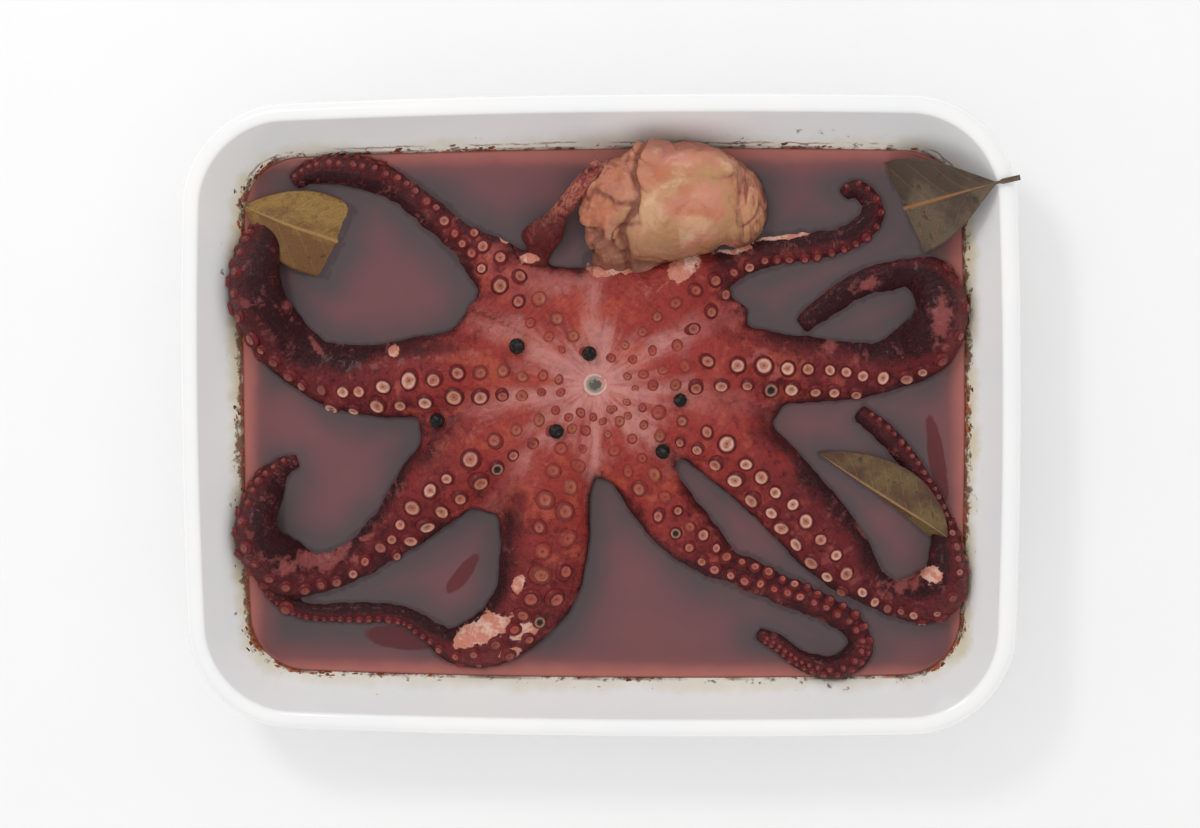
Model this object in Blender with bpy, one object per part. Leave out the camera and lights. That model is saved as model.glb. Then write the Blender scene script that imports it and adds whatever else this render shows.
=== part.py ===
"""A whole cooked octopus in its broth, in a white enamelled roasting tin.

The octopus lies on its back: the web and its mouth look up, eight arms run out and curl
along the walls, and the mantle leans on the long wall at +Y. Three bay leaves and six
peppercorns lie on and between the arms.

Frame: metres, +Z up, +X along the tin, origin at the middle of the tin's flat base.
"""

import math

import bmesh
import bpy
from mathutils import Vector
from mathutils.bvhtree import BVHTree

MM = 0.001

# --- Driving dimensions -------------------------------------------------------------------
TIN_HALF_LENGTH = 160 * MM
TIN_HALF_WIDTH = 122 * MM
TIN_HEIGHT = 45 * MM
SHEET = 1.2 * MM             # enamelled steel
SIDE_BOW = 3 * MM            # how far each side bulges between its corners
RIM_CORNER = 38 * MM         # corner radius along the rim
FLOOR_CORNER = 12 * MM       # smallest corner radius, at the floor
CORNER_SHRINK = 0.9          # corner radius lost for each unit of inset
CORNER_STEPS = 5
SIDE_STEPS = 4

# Inner face of the wall, rim to floor: (inset from the rim's outer edge, height).
INNER_WALL = ((7, 43.5), (11, 34), (15, 26), (19, 20), (22.5, 15), (26.5, 10.5), (31, 6.8),
              (36, 4), (42, 2.1), (48, 1.2))
# The rolled edge, from the inner face over the top and back under to the wall.
ROLLED_RIM = ((6.3, 44.4), (5, 45), (3, 44.9), (1.2, 44), (0.1, 42.5), (0, 41), (1, 39.6),
              (2.8, 39), (4.8, 39.6))

BROTH_LEVEL = 20 * MM
GAP = 0.35 * MM              # kept between pieces that touch
FILM = 1.8 * MM              # broth kept under every arm
FLOATING_TOP = 22 * MM       # thin arms float with their tops here

ARM_FLATNESS = 0.8           # an arm's height over its width
ARM_SIDES = 12
ARM_STEP = 5 * MM
VOXEL = 2 * MM
OCTOPUS_TRIANGLES = 2400

MOUTH = Vector((-1, 12)) * MM
WEB_TOP = 27 * MM
WEB_THICKNESS = 15 * MM
WEB_RIM_RISE = 2.5 * MM      # the web's rim stands this far out of the broth

# Each arm from under the web to its tip: (x, y, half width) in millimetres.
ARMS = {
    "north_west": ((-2, 18, 13), (-20, 36, 14), (-36, 54, 14), (-49, 65, 12), (-68, 81, 9),
                   (-84, 92, 7), (-100, 96, 6), (-113, 95, 5), (-120, 91, 4)),
    "west": ((-4, 12, 13), (-36, 18, 16), (-63, 16, 17), (-79, 14, 16), (-95, 14, 15),
             (-109, 17, 14), (-124, 28, 12), (-133, 44, 11), (-134, 57, 10), (-132, 68, 8),
             (-130, 76, 5)),
    "south_west": ((-4, 9, 13), (-38, -9, 17), (-60, -24, 17), (-82, -46, 13),
                   (-102, -60, 12), (-121, -62, 12), (-133, -52, 10), (-135, -39, 8),
                   (-131, -27, 7), (-125, -20, 5), (-119, -18, 3)),
    "south": ((-3, 6, 13), (-15, -14, 16), (-21, -33, 18), (-22, -53, 18), (-27, -72, 16),
              (-42, -87, 12), (-58, -91, 8), (-68, -85, 6), (-79, -79, 5), (-98, -78, 5),
              (-116, -78, 4), (-127, -73, 4), (-134, -66, 3)),
    "south_east": ((0, 6, 13), (16, -22, 14), (29, -41, 14), (47, -57, 12), (66, -66, 10),
                   (84, -74, 8), (97, -81, 7), (101, -91, 6), (92, -98, 5), (79, -96, 4),
                   (69, -89, 4), (61, -85, 3)),
    "east_south": ((1, 8, 13), (30, 0, 16), (48, -9, 17), (69, -28, 16), (89, -50, 15),
                   (105, -67, 12), (120, -72, 11), (132, -67, 10), (134, -54, 7),
                   (132, -41, 5), (126, -28, 5), (118, -16, 5), (109, -6, 5), (100, 1, 4)),
    "east": ((1, 12, 13), (26, 18, 16), (47, 20, 16), (70, 18, 15), (89, 17, 14),
             (109, 18, 13), (126, 27, 12), (132, 41, 10), (126, 53, 9), (111, 53, 8),
             (97, 48, 7), (87, 41, 6), (78, 34, 4)),
    "north_east": ((-1, 16, 13), (16, 34, 15), (35, 50, 15), (52, 58, 11), (67, 63, 9),
                   (84, 65, 8), (97, 68, 7), (105, 75, 6), (105, 82, 5), (99, 87, 4),
                   (94, 84, 3)),
}

# Where the web's edge swings in between neighbouring arms, in the arms' order.
WEB_NOTCHES = ((-53, 41), (-71, -5), (-45, -39), (-1, -25), (27, -16), (71, 2), (59, 41))
WEB_BACK_EDGE = ((24, 58), (-16, 58))

# Lumps that make up the mantle and its neck: centre and half sizes, in millimetres.
MANTLE_LUMPS = (
    ((10, 54, 15), (30, 20, 10)),
    ((12, 80, 24), (19, 18, 15)),
    ((34, 82, 25), (26, 23, 17)),
    ((50, 78, 23), (15, 16, 14)),
)
# Fold of skin from the top of the mantle to the web: (x, y, z, half width).
SKIN_FOLD = ((3, 98, 33, 4), (-4, 90, 33, 5), (-11, 80, 30, 5), (-17, 71, 26, 5),
             (-21, 60, 20, 6))

LEAF_THICKNESS = 0.8 * MM
LEAF_ACROSS = 4
LEAF_STEP = 6 * MM
STALK_HALF_WIDTH = 1 * MM
# Midribs from stalk to tip as (x, y, z). The blade's left and right halves roll about it.
LEAVES = {
    "bay_leaf_left": {
        "midrib": ((-139, 82, 22), (-122, 75, 24.5), (-105, 69, 20.6), (-88, 62, 14),
                   (-73, 56, 10)),
        "half_width": 16, "rolls": (0.0, 0.0), "stalk": 0.0},
    "bay_leaf_right": {
        "midrib": ((159, 89, 47), (150, 87, 46.2), (134, 83, 35), (118, 79, 20),
                   (110, 77, 10), (103, 76, 5.5)),
        "half_width": 16, "rolls": (0.12, 0.12), "stalk": 0.14},
    "bay_leaf_front": {
        "midrib": ((134, -47, 26), (125, -41, 24), (112, -33, 21.5), (98, -24, 20.2),
                   (85, -15, 20.3)),
        "half_width": 14, "rolls": (0.9, 0.17), "stalk": 0.0},
}

# Peppercorns on the web: (x, y, radius) in millimetres.
PEPPERCORNS = ((-31, 27, 3.2), (-3, 24, 3.0), (-63, -2, 3.0), (-16, -6, 3.0), (32, 6, 2.7),
               (25, -14, 3.0))

COLOURS = {
    "enamel": ((0.86, 0.86, 0.83), 0.15),
    "broth": ((0.20, 0.09, 0.10), 0.08),
    "flesh": ((0.36, 0.07, 0.06), 0.35),
    "leaf": ((0.22, 0.16, 0.05), 0.5),
    "pepper": ((0.02, 0.017, 0.015), 0.6),
}


# --- Shared helpers -------------------------------------------------------------------------
def clear_scene():
    for thing in list(bpy.data.objects):
        bpy.data.objects.remove(thing, do_unlink=True)


def material(name):
    colour, roughness = COLOURS[name]
    made = bpy.data.materials.new(name)
    made.use_nodes = True
    shader = made.node_tree.nodes["Principled BSDF"]
    shader.inputs["Base Color"].default_value = (*colour, 1)
    shader.inputs["Roughness"].default_value = roughness
    shader.inputs["Metallic"].default_value = 0
    made.diffuse_color = (*colour, 1)
    return made


def mesh_object(name, mesh, finish=None):
    made = bpy.data.objects.new(name, mesh)
    bpy.context.scene.collection.objects.link(made)
    if finish:
        mesh.materials.clear()
        mesh.materials.append(finish)
        mesh.shade_smooth()
        mesh.set_sharp_from_angle(angle=math.radians(50))
    return made


def as_guide(thing):
    thing.hide_render = True
    thing.display_type = "WIRE"
    return thing


def loft(rings, name):
    """Skin equal-length rings of points, in order, and close both ends."""
    bm = bmesh.new()
    rows = [[bm.verts.new(point) for point in ring] for ring in rings]
    count = len(rows[0])
    for low, high in zip(rows, rows[1:]):
        for i in range(count):
            j = (i + 1) % count
            bm.faces.new((low[i], low[j], high[j], high[i]))
    bm.faces.new(list(reversed(rows[0])))
    bm.faces.new(rows[-1])
    bmesh.ops.recalc_face_normals(bm, faces=bm.faces)
    mesh = bpy.data.meshes.new(name)
    bm.to_mesh(mesh)
    bm.free()
    return mesh


def smooth_path(points, step):
    """Points about one step apart on a Catmull-Rom curve through the given vectors."""
    ends = [2 * points[0] - points[1], *points, 2 * points[-1] - points[-2]]
    path = []
    for before, start, end, after in zip(ends, ends[1:], ends[2:], ends[3:]):
        count = max(1, round((end - start).length / step))
        for i in range(count):
            t = i / count
            path.append(0.5 * (2 * start + (end - before) * t
                               + (2 * before - 5 * start + 4 * end - after) * t ** 2
                               + (3 * start - before - 3 * end + after) * t ** 3))
    path.append(points[-1].copy())
    return path


def evaluated_mesh(thing):
    graph = bpy.context.evaluated_depsgraph_get()
    return bpy.data.meshes.new_from_object(thing.evaluated_get(graph))


def cut_round(thing, pieces):
    """Cut a guide round other pieces, so that a gap is left between them."""
    for piece in pieces:
        cutter = as_guide(mesh_object(f"{thing.name}_{piece.name}", piece.data.copy()))
        swell = cutter.modifiers.new("swell", "DISPLACE")
        swell.strength = GAP
        swell.mid_level = 0
        cut = thing.modifiers.new(piece.name, "BOOLEAN")
        cut.operation = "DIFFERENCE"
        cut.solver = "EXACT"
        cut.object = cutter


# --- Tin --------------------------------------------------------------------------------------
def corner_radius(inset):
    return max(RIM_CORNER - CORNER_SHRINK * inset, FLOOR_CORNER)


def outline(inset, height):
    """One level of the tin: a rectangle with round corners and gently bowed sides."""
    half_x = TIN_HALF_LENGTH - inset
    half_y = TIN_HALF_WIDTH - inset
    radius = corner_radius(inset)
    flat = []
    for quarter in range(4):
        sign_x = (1, -1, -1, 1)[quarter]
        sign_y = (1, 1, -1, -1)[quarter]
        centre = Vector((sign_x * (half_x - radius), sign_y * (half_y - radius)))
        for i in range(CORNER_STEPS + 1):
            angle = (quarter + i / CORNER_STEPS) * math.pi / 2
            flat.append(centre + radius * Vector((math.cos(angle), math.sin(angle))))
        next_x = (-1, -1, 1, 1)[quarter]
        next_y = (1, -1, -1, 1)[quarter]
        if quarter % 2:
            following = Vector((next_x * half_x, next_y * (half_y - radius)))
        else:
            following = Vector((next_x * (half_x - radius), next_y * half_y))
        last = flat[-1]
        flat += [last.lerp(following, i / SIDE_STEPS) for i in range(1, SIDE_STEPS)]
    ring = []
    for x, y in flat:
        bowed_x = x * (1 - SIDE_BOW / TIN_HALF_LENGTH * (y / half_y) ** 2)
        bowed_y = y * (1 - SIDE_BOW / TIN_HALF_WIDTH * (x / half_x) ** 2)
        ring.append(Vector((bowed_x, bowed_y, height)))
    return ring


def wall_points(offset):
    """The inner wall moved by an offset along its normal, away from the broth if positive."""
    profile = [Vector(point) * MM for point in INNER_WALL]
    moved = []
    for i, point in enumerate(profile):
        before = profile[max(i - 1, 0)]
        after = profile[min(i + 1, len(profile) - 1)]
        along = (after - before).normalized()
        outward = Vector((-abs(along.y), -abs(along.x)))
        if i == len(profile) - 1:
            outward = Vector((0, -1))
        moved.append(point + offset * outward)
    return moved


def build_tin():
    outer = wall_points(SHEET)[1:]
    profile = list(reversed(outer))
    profile += [Vector(point) * MM for point in reversed(ROLLED_RIM)]
    profile += wall_points(0)
    rings = [outline(inset, height) for inset, height in profile]
    return mesh_object("tin", loft(rings, "tin"), material("enamel"))


def inside_of_tin(name, gap, top):
    """The room inside the tin, a gap away from its wall, up to a level."""
    profile = list(reversed(wall_points(-gap)))
    below = [point for point in profile if point.y < top]
    above = profile[len(below)]
    last = below[-1]
    share = (top - last.y) / (above.y - last.y)
    below.append(last.lerp(above, min(share, 1)))
    below[-1].y = top
    return loft([outline(inset, height) for inset, height in below], name)


# --- Octopus -----------------------------------------------------------------------------------
def wall_clearance(x, y, z):
    """Distance from a point inside the tin to the tin's inner face."""
    inset = min(TIN_HALF_LENGTH - abs(x), TIN_HALF_WIDTH - abs(y))
    point = Vector((inset, z))
    profile = [Vector(pair) * MM for pair in INNER_WALL]
    best = z - profile[-1].y
    for start, end in zip(profile, profile[1:]):
        along = end - start
        share = max(0, min(1, (point - start).dot(along) / along.length_squared))
        best = min(best, (point - start - share * along).length)
    return best


def arm_height(x, y, half_height):
    """Height of an arm's middle: it floats, or lies on the tin with a film under it."""
    height = FLOATING_TOP - half_height
    while wall_clearance(x, y, height) < half_height + FILM and height < TIN_HEIGHT:
        height += MM / 2
    return height


def tube_mesh(path, name):
    """A flattened tube along (x, y, z, half width, half height) stations."""
    rings = []
    last = len(path) - 1
    for i, station in enumerate(path):
        place = Vector(station[:3])
        ahead = Vector(path[min(i + 1, last)][:3]) - Vector(path[max(i - 1, 0)][:3])
        ahead.normalize()
        side = ahead.cross(Vector((0, 0, 1))).normalized()
        lift = side.cross(ahead)
        ring = []
        for k in range(ARM_SIDES):
            angle = 2 * math.pi * k / ARM_SIDES
            ring.append(place + math.cos(angle) * station[3] * side
                        + math.sin(angle) * station[4] * lift)
        rings.append(ring)
    return loft(rings, name)


def arm_mesh(name, stations):
    flat = smooth_path([Vector(station) * MM for station in stations], ARM_STEP)
    path = []
    for x, y, half_width in flat:
        half_height = ARM_FLATNESS * half_width
        path.append((x, y, arm_height(x, y, half_height), half_width, half_height))
    return tube_mesh(path, name)


def web_mesh():
    """The skin between the arms: a star-shaped dish with a blunt rim at the broth's level."""
    rim = []
    arm_tops = [Vector(stations[2][:2]) * MM for stations in ARMS.values()]
    corners = [Vector(pair) * MM for pair in WEB_NOTCHES]
    back = [Vector(pair) * MM for pair in WEB_BACK_EDGE]
    for i, arm_top in enumerate(arm_tops):
        rim.append(arm_top)
        if i < len(corners):
            rim.append(corners[i])
    rim += back
    rings = []
    low = BROTH_LEVEL - WEB_THICKNESS / 2
    rim_top = BROTH_LEVEL + WEB_RIM_RISE
    for share, height in ((0.05, low), (0.75, low), (0.95, low + 3 * MM), (1, BROTH_LEVEL - 3 * MM),
                          (1, rim_top), (0.9, rim_top + 1.5 * MM), (0.6, WEB_TOP),
                          (0.05, WEB_TOP)):
        rings.append([(MOUTH.lerp(point, share)).to_3d() + Vector((0, 0, height))
                      for point in rim])
    return loft(rings, "web")


def lump_mesh(centre, half_sizes):
    bm = bmesh.new()
    bmesh.ops.create_icosphere(bm, subdivisions=4, radius=1)
    for vert in bm.verts:
        vert.co = Vector(c * MM + v * s * MM for c, v, s in zip(centre, vert.co, half_sizes))
    mesh = bpy.data.meshes.new("lump")
    bm.to_mesh(mesh)
    bm.free()
    return mesh


def skin_fold_mesh():
    path = smooth_path([Vector(station) * MM for station in SKIN_FOLD], ARM_STEP)
    return tube_mesh([(x, y, z, width, width * ARM_FLATNESS) for x, y, z, width in path],
                     "skin_fold")


def build_octopus(leaves):
    """Grow all the parts of the animal into one skin, pressed in by the tin and the leaves."""
    bm = bmesh.new()
    meshes = [arm_mesh(name, stations) for name, stations in ARMS.items()]
    meshes += [web_mesh(), skin_fold_mesh()]
    meshes += [lump_mesh(centre, half_sizes) for centre, half_sizes in MANTLE_LUMPS]
    for mesh in meshes:
        bm.from_mesh(mesh)
    joined = bpy.data.meshes.new("octopus_parts")
    bm.to_mesh(joined)
    bm.free()
    rough = as_guide(mesh_object("octopus_rough", joined))

    remesh = rough.modifiers.new("one_skin", "REMESH")
    remesh.mode = "VOXEL"
    remesh.voxel_size = VOXEL
    soften = rough.modifiers.new("soften", "SMOOTH")
    soften.factor = 0.5
    soften.iterations = 5
    triangles = 2 * len(evaluated_mesh(rough).polygons)
    thin = rough.modifiers.new("thin", "DECIMATE")
    thin.ratio = OCTOPUS_TRIANGLES / triangles

    room = as_guide(mesh_object("room", inside_of_tin("room", GAP, TIN_HEIGHT - 4 * MM)))
    fit = rough.modifiers.new("fit", "BOOLEAN")
    fit.operation = "INTERSECT"
    fit.solver = "EXACT"
    fit.object = room
    cut_round(rough, leaves)
    weld = rough.modifiers.new("weld", "WELD")
    weld.merge_threshold = 0.05 * MM
    rough.modifiers.new("triangles", "TRIANGULATE")
    return mesh_object("octopus", evaluated_mesh(rough), material("flesh"))


# --- Leaves and peppercorns -------------------------------------------------------------------
def leaf_half_width(share, widest, stalk):
    """Half width along a leaf: a thin stalk, then a blade that is fullest before its middle."""
    if share < stalk:
        return STALK_HALF_WIDTH
    blade = (share - stalk) / (1 - stalk)
    return max(STALK_HALF_WIDTH, widest * math.sin(math.pi * blade ** 0.8) ** 0.75)


def build_leaf(name, spec, finish):
    path = smooth_path([Vector(point) * MM for point in spec["midrib"]], LEAF_STEP)
    last = len(path) - 1
    rings = []
    for i, place in enumerate(path):
        ahead = (path[min(i + 1, last)] - path[max(i - 1, 0)]).normalized()
        side = ahead.cross(Vector((0, 0, 1))).normalized()
        lift = side.cross(ahead)
        half = leaf_half_width(i / last, spec["half_width"] * MM, spec["stalk"])
        blade = []
        for k in range(LEAF_ACROSS + 1):
            share = 2 * k / LEAF_ACROSS - 1
            roll = spec["rolls"][0] if share < 0 else spec["rolls"][1]
            across = math.cos(roll) * side + math.sin(roll) * lift
            blade.append(place + share * half * across)
        rise = lift * LEAF_THICKNESS / 2
        rings.append([point + rise for point in blade]
                     + [point - rise for point in reversed(blade)])
    return mesh_object(name, loft(rings, name), finish)


def build_peppercorn(index, spec, skin, finish):
    """A peppercorn let down onto the octopus until it nearly touches."""
    x, y, radius = (value * MM for value in spec)
    place = Vector((x, y, TIN_HEIGHT))
    while skin.find_nearest(place)[3] > radius + GAP:
        place.z -= 0.05 * MM
    bm = bmesh.new()
    bmesh.ops.create_icosphere(bm, subdivisions=2, radius=radius)
    bmesh.ops.translate(bm, verts=bm.verts, vec=place)
    mesh = bpy.data.meshes.new("peppercorn")
    bm.to_mesh(mesh)
    bm.free()
    return mesh_object(f"peppercorn_{index}", mesh, finish)


# --- Broth ------------------------------------------------------------------------------------
def drop_slivers(mesh):
    """Keep only the largest connected body, without drops caught between arm and wall."""
    bm = bmesh.new()
    bm.from_mesh(mesh)
    unseen = set(bm.verts)
    bodies = []
    while unseen:
        body = {unseen.pop()}
        front = list(body)
        while front:
            for edge in front.pop().link_edges:
                for vert in edge.verts:
                    if vert in unseen:
                        unseen.discard(vert)
                        body.add(vert)
                        front.append(vert)
        bodies.append(body)
    bodies.sort(key=len)
    slivers = [vert for body in bodies[:-1] for vert in body]
    bmesh.ops.delete(bm, geom=slivers, context="VERTS")
    bm.to_mesh(mesh)
    bm.free()


def build_broth(wet_pieces):
    """Broth fills the tin to its level, cut round everything that lies in it."""
    level = inside_of_tin("broth", GAP, BROTH_LEVEL)
    broth = as_guide(mesh_object("broth_uncut", level))
    cut_round(broth, wet_pieces)
    whole = evaluated_mesh(broth)
    drop_slivers(whole)
    return mesh_object("broth", whole, material("broth"))


def build_all():
    clear_scene()
    build_tin()
    leaf_finish = material("leaf")
    leaves = [build_leaf(name, spec, leaf_finish) for name, spec in LEAVES.items()]
    octopus = build_octopus(leaves)
    graph = bpy.context.evaluated_depsgraph_get()
    skin = BVHTree.FromObject(octopus, graph)
    pepper_finish = material("pepper")
    for index, spec in enumerate(PEPPERCORNS, 1):
        build_peppercorn(index, spec, skin, pepper_finish)
    build_broth([octopus, *leaves])


build_all()
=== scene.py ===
"""Looks for a cooked octopus in broth, in a white enamelled roasting tin."""

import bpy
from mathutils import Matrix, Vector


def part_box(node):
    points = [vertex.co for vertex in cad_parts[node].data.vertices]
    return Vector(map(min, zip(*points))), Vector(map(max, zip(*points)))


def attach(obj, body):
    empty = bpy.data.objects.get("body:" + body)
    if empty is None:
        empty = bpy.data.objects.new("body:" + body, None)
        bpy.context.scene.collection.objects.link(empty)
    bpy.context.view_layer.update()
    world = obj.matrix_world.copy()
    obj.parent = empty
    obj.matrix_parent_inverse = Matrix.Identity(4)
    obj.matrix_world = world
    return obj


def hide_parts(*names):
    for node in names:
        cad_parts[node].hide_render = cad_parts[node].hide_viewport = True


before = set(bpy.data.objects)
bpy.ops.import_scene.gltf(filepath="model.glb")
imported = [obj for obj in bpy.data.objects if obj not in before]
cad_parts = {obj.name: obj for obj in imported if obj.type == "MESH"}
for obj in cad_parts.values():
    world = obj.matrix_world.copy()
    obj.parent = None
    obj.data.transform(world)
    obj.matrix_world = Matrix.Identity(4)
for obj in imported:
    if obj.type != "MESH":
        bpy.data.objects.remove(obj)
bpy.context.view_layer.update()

import math
import random

import bmesh
import bpy
import numpy as np
from bpy.props import (FloatProperty, FloatVectorProperty, IntProperty, PointerProperty)
from mathutils import Matrix, Vector, noise
from mathutils.bvhtree import BVHTree
from mathutils.kdtree import KDTree

bl_info = {
    "name": "Octopus in its broth",
    "version": (1, 0, 0),
    "blender": (4, 5, 0),
    "location": "3D View > Sidebar > Octopus",
    "description": "Builds the skin, suckers, broth, tin, leaves and stage of a cooked octopus",
    "category": "Object",
}

MM = 0.001
BODY = "root"


def tint(red, green, blue):
    """Linear colour of an 8-bit sRGB one."""
    return tuple(c / 12.92 if c <= 0.04045 else ((c + 0.055) / 1.055) ** 2.4
                 for c in (red / 255, green / 255, blue / 255))


# --- Frame measures -------------------------------------------------------------------------
TIN_HALF_LENGTH, TIN_HALF_WIDTH, TIN_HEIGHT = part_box("tin")[1]
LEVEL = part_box("broth")[1].z

# --- The animal, in millimetres ----------------------------------------------------------------
MOUTH = (-1.0, 12.0)
# Each arm from under the web to its tip: (x, y, half width). Its suckers face up at first,
# rolled to one side by the first angle, and by the second once the arm has turned.
ARMS = {
    "north_west": (((-2, 18, 13), (-20, 36, 14), (-36, 54, 14), (-49, 65, 12), (-68, 81, 9),
                    (-84, 92, 7), (-100, 96, 6), (-113, 95, 5), (-120, 91, 4)), 2, 50),
    "west": (((-4, 12, 13), (-36, 18, 16), (-63, 16, 17), (-79, 14, 16), (-95, 14, 15),
              (-109, 17, 14), (-124, 28, 12), (-133, 44, 11), (-134, 57, 10),
              (-132, 68, 8), (-130, 76, 5)), -24, -64),
    "south_west": (((-4, 9, 13), (-38, -9, 17), (-60, -24, 17), (-82, -46, 13),
                    (-102, -60, 12), (-121, -62, 12), (-133, -52, 10), (-135, -39, 8),
                    (-131, -27, 7), (-125, -20, 5), (-119, -18, 3)), -20, -52),
    "south": (((-3, 6, 13), (-15, -14, 16), (-21, -33, 18), (-22, -53, 18), (-27, -72, 16),
               (-42, -87, 12), (-58, -91, 8), (-68, -85, 6), (-79, -79, 5), (-98, -78, 5),
               (-116, -78, 4), (-127, -73, 4), (-134, -66, 3)), -20, -60),
    "south_east": (((0, 6, 13), (16, -22, 14), (29, -41, 14), (47, -57, 12), (66, -66, 10),
                    (84, -74, 8), (97, -81, 7), (101, -91, 6), (92, -98, 5), (79, -96, 4),
                    (69, -89, 4), (61, -85, 3)), 0, -25),
    "east_south": (((1, 8, 13), (30, 0, 16), (48, -9, 17), (69, -28, 16), (89, -50, 15),
                    (105, -67, 12), (120, -72, 11), (132, -67, 10), (134, -54, 7),
                    (132, -41, 5), (126, -28, 5), (118, -16, 5), (109, -6, 5),
                    (100, 1, 4)), 22, 55),
    "east": (((1, 12, 13), (26, 18, 16), (47, 20, 16), (70, 18, 15), (89, 17, 14),
              (109, 18, 13), (126, 27, 12), (132, 41, 10), (126, 53, 9), (111, 53, 8),
              (97, 48, 7), (87, 41, 6), (78, 34, 4)), 18, 85),
    "north_east": (((-1, 16, 13), (16, 34, 15), (35, 50, 15), (52, 58, 11), (67, 63, 9),
                    (84, 65, 8), (97, 68, 7), (105, 75, 6), (105, 82, 5), (99, 87, 4),
                    (94, 84, 3)), 32, 58),
}
WEB_NOTCHES = ((-53, 41), (-71, -5), (-45, -39), (-1, -25), (27, -16), (71, 2), (59, 41))
WEB_BACK_EDGE = ((24, 58), (-16, 58))
# How cream the grown suckers of each arm are, from 0 to 1.
CREAM = {"north_west": 0.45, "west": 0.8, "south_west": 0.6, "south": 0.25, "south_east": 0.35,
         "east_south": 0.95, "east": 0.85, "north_east": 0.4}
# Fold of skin from the top of the mantle to the web: (x, y, z, half width, half height).
SKIN_FOLD = ((2, 97, 34, 3, 3), (-3, 91, 33, 3.6, 3.6), (-9, 84, 31, 3.8, 4),
             (-15, 77, 28, 4.4, 4), (-19, 71, 25, 7.5, 5), (-26, 65, 20, 8, 5.5))
# Lumps of the mantle: centre and half sizes.
MANTLE_LUMPS = (((12, 60, 14), (23, 14, 9)), ((9, 81, 23), (14, 19, 14)),
                ((34, 84, 25), (27, 22, 17)), ((19, 90, 25), (13, 14, 13)),
                ((54, 80, 22), (11, 16, 14)), ((22, 69, 23), (18, 10, 12)),
                ((0, 86, 30), (6, 7, 6)), ((-1, 77, 29), (6, 8, 6)), ((1, 69, 25), (7, 7, 6)),
                ((6, 92, 30), (7, 6, 6)), ((8, 63, 21), (9, 6, 7)), ((22, 100, 36), (9, 6, 5)),
                ((6, 77, 34), (5, 11, 4)), ((38, 93, 37), (15, 8, 5)))
# Patches of skin that have peeled, then ones only rubbed pink:
# (x, y, half length, half width, angle in degrees).
PEELED = ((-37, 69, 4, 1.8, -35), (-27, 61, 4, 2.2, 0), (-80, 25, 2.4, 2.6, 0),
          (-31, -65, 4, 2.5, 60), (-46, -84, 14, 6, 25), (-30, -84, 8, 4, 30),
          (34, 58, 8, 5, 55), (52, 64, 8, 2.6, 12), (70, 69, 14, 2.0, 6),
          (128, -61, 4, 4, 10), (4, 57, 9, 3.5, -4), (-35, -93, 5, 2.5, 20))
RUBBED = ((-111, 27, 7, 2.0, 130), (-121, 44, 5, 2.0, 50), (-102, -53, 8, 2, 35),
          (-92, -48, 5, 1.5, 20), (90, 27, 5, 3, 50), (102, -46, 7, 1.6, -48),
          (116, -65, 12, 6, 30), (103, 50, 8, 4, 10), (26, -22, 4, 3, 0), (60, 22, 9, 2, 30),
          (68, 14, 9, 2, 60), (31, -16, 5, 2, 40), (-112, -57, 18, 6, 5), (131, 36, 6, 13, 0))
# The mantle's yellowed, flushed and amber skin, laid out the same way.
BUTTER = ((21, 79, 8, 10, 0), (38, 73, 9, 5, 0), (52, 95, 7, 3, -30))
FLUSH = ((45, 83, 12, 8, -15), (33, 98, 9, 4, -10))
AMBER = ((25, 91, 9, 5, 10), (35, 86, 5, 4, 0))
# Suckers start clear of the mouth, stay young for a stretch and then grow to full size.
MOUTH_CLEARANCE = 11 * MM
YOUNG_REACH = 28 * MM
GROWING = 40 * MM
ROW_STAGGER = 2.2 * MM
BURNT_CREAM = 2.0
# Flesh that shows dark red through the broth: (x, y, half length, half width, angle).
SUNK = ((-78, -88, 21, 5, -4), (-54, -62, 11, 3.5, 50), (130, -16, 16, 3, -80))

# Inner face of the tin's wall: (inset from the rim's outer edge, height).
INNER_WALL = ((7, 43.5), (8.8, 39), (11, 34), (13, 30), (15, 26), (17, 23), (19, 20),
              (20.7, 17.5), (22.5, 15), (24.4, 12.6), (26.5, 10.5), (28.7, 8.5), (31, 6.8),
              (33.4, 5.3), (36, 4), (39, 2.9), (42, 2.1), (45, 1.5), (48, 1.2))
ROLLED_RIM = ((6.8, 44), (6.3, 44.5), (5.6, 44.8), (4.6, 45), (3.6, 45), (2.5, 44.8),
              (1.5, 44.3), (0.7, 43.6), (0.2, 42.8), (0, 41.8), (0.1, 40.9), (0.5, 40.1),
              (1.2, 39.5), (2.1, 39.1), (3.1, 39), (4.1, 39.2), (4.9, 39.7))


# --- Shader expressions ----------------------------------------------------------------------
class Signal:
    """A shader socket that takes part in Python arithmetic."""

    def __init__(self, finish, socket):
        self.finish = finish
        self.socket = socket

    def _math(self, operation, *terms):
        return self.finish.node("ShaderNodeMath", {"operation": operation},
                                dict(enumerate(terms)))

    def __add__(self, other):
        return self._math("ADD", self, other)

    __radd__ = __add__

    def __sub__(self, other):
        return self._math("SUBTRACT", self, other)

    def __rsub__(self, other):
        return self._math("SUBTRACT", other, self)

    def __mul__(self, other):
        return self._math("MULTIPLY", self, other)

    __rmul__ = __mul__

    def __abs__(self):
        return self._math("ABSOLUTE", self)

    def least(self, other):
        return self._math("MINIMUM", self, other)

    def most(self, other):
        return self._math("MAXIMUM", self, other)

    def fraction(self):
        return self._math("FRACT", self)

    def rise(self, low, high):
        """0 below low, 1 above high, smooth between; low may be the larger."""
        return self.finish.node("ShaderNodeMapRange", {"interpolation_type": "SMOOTHSTEP"},
                                {"Value": self, "From Min": low, "From Max": high})


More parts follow.
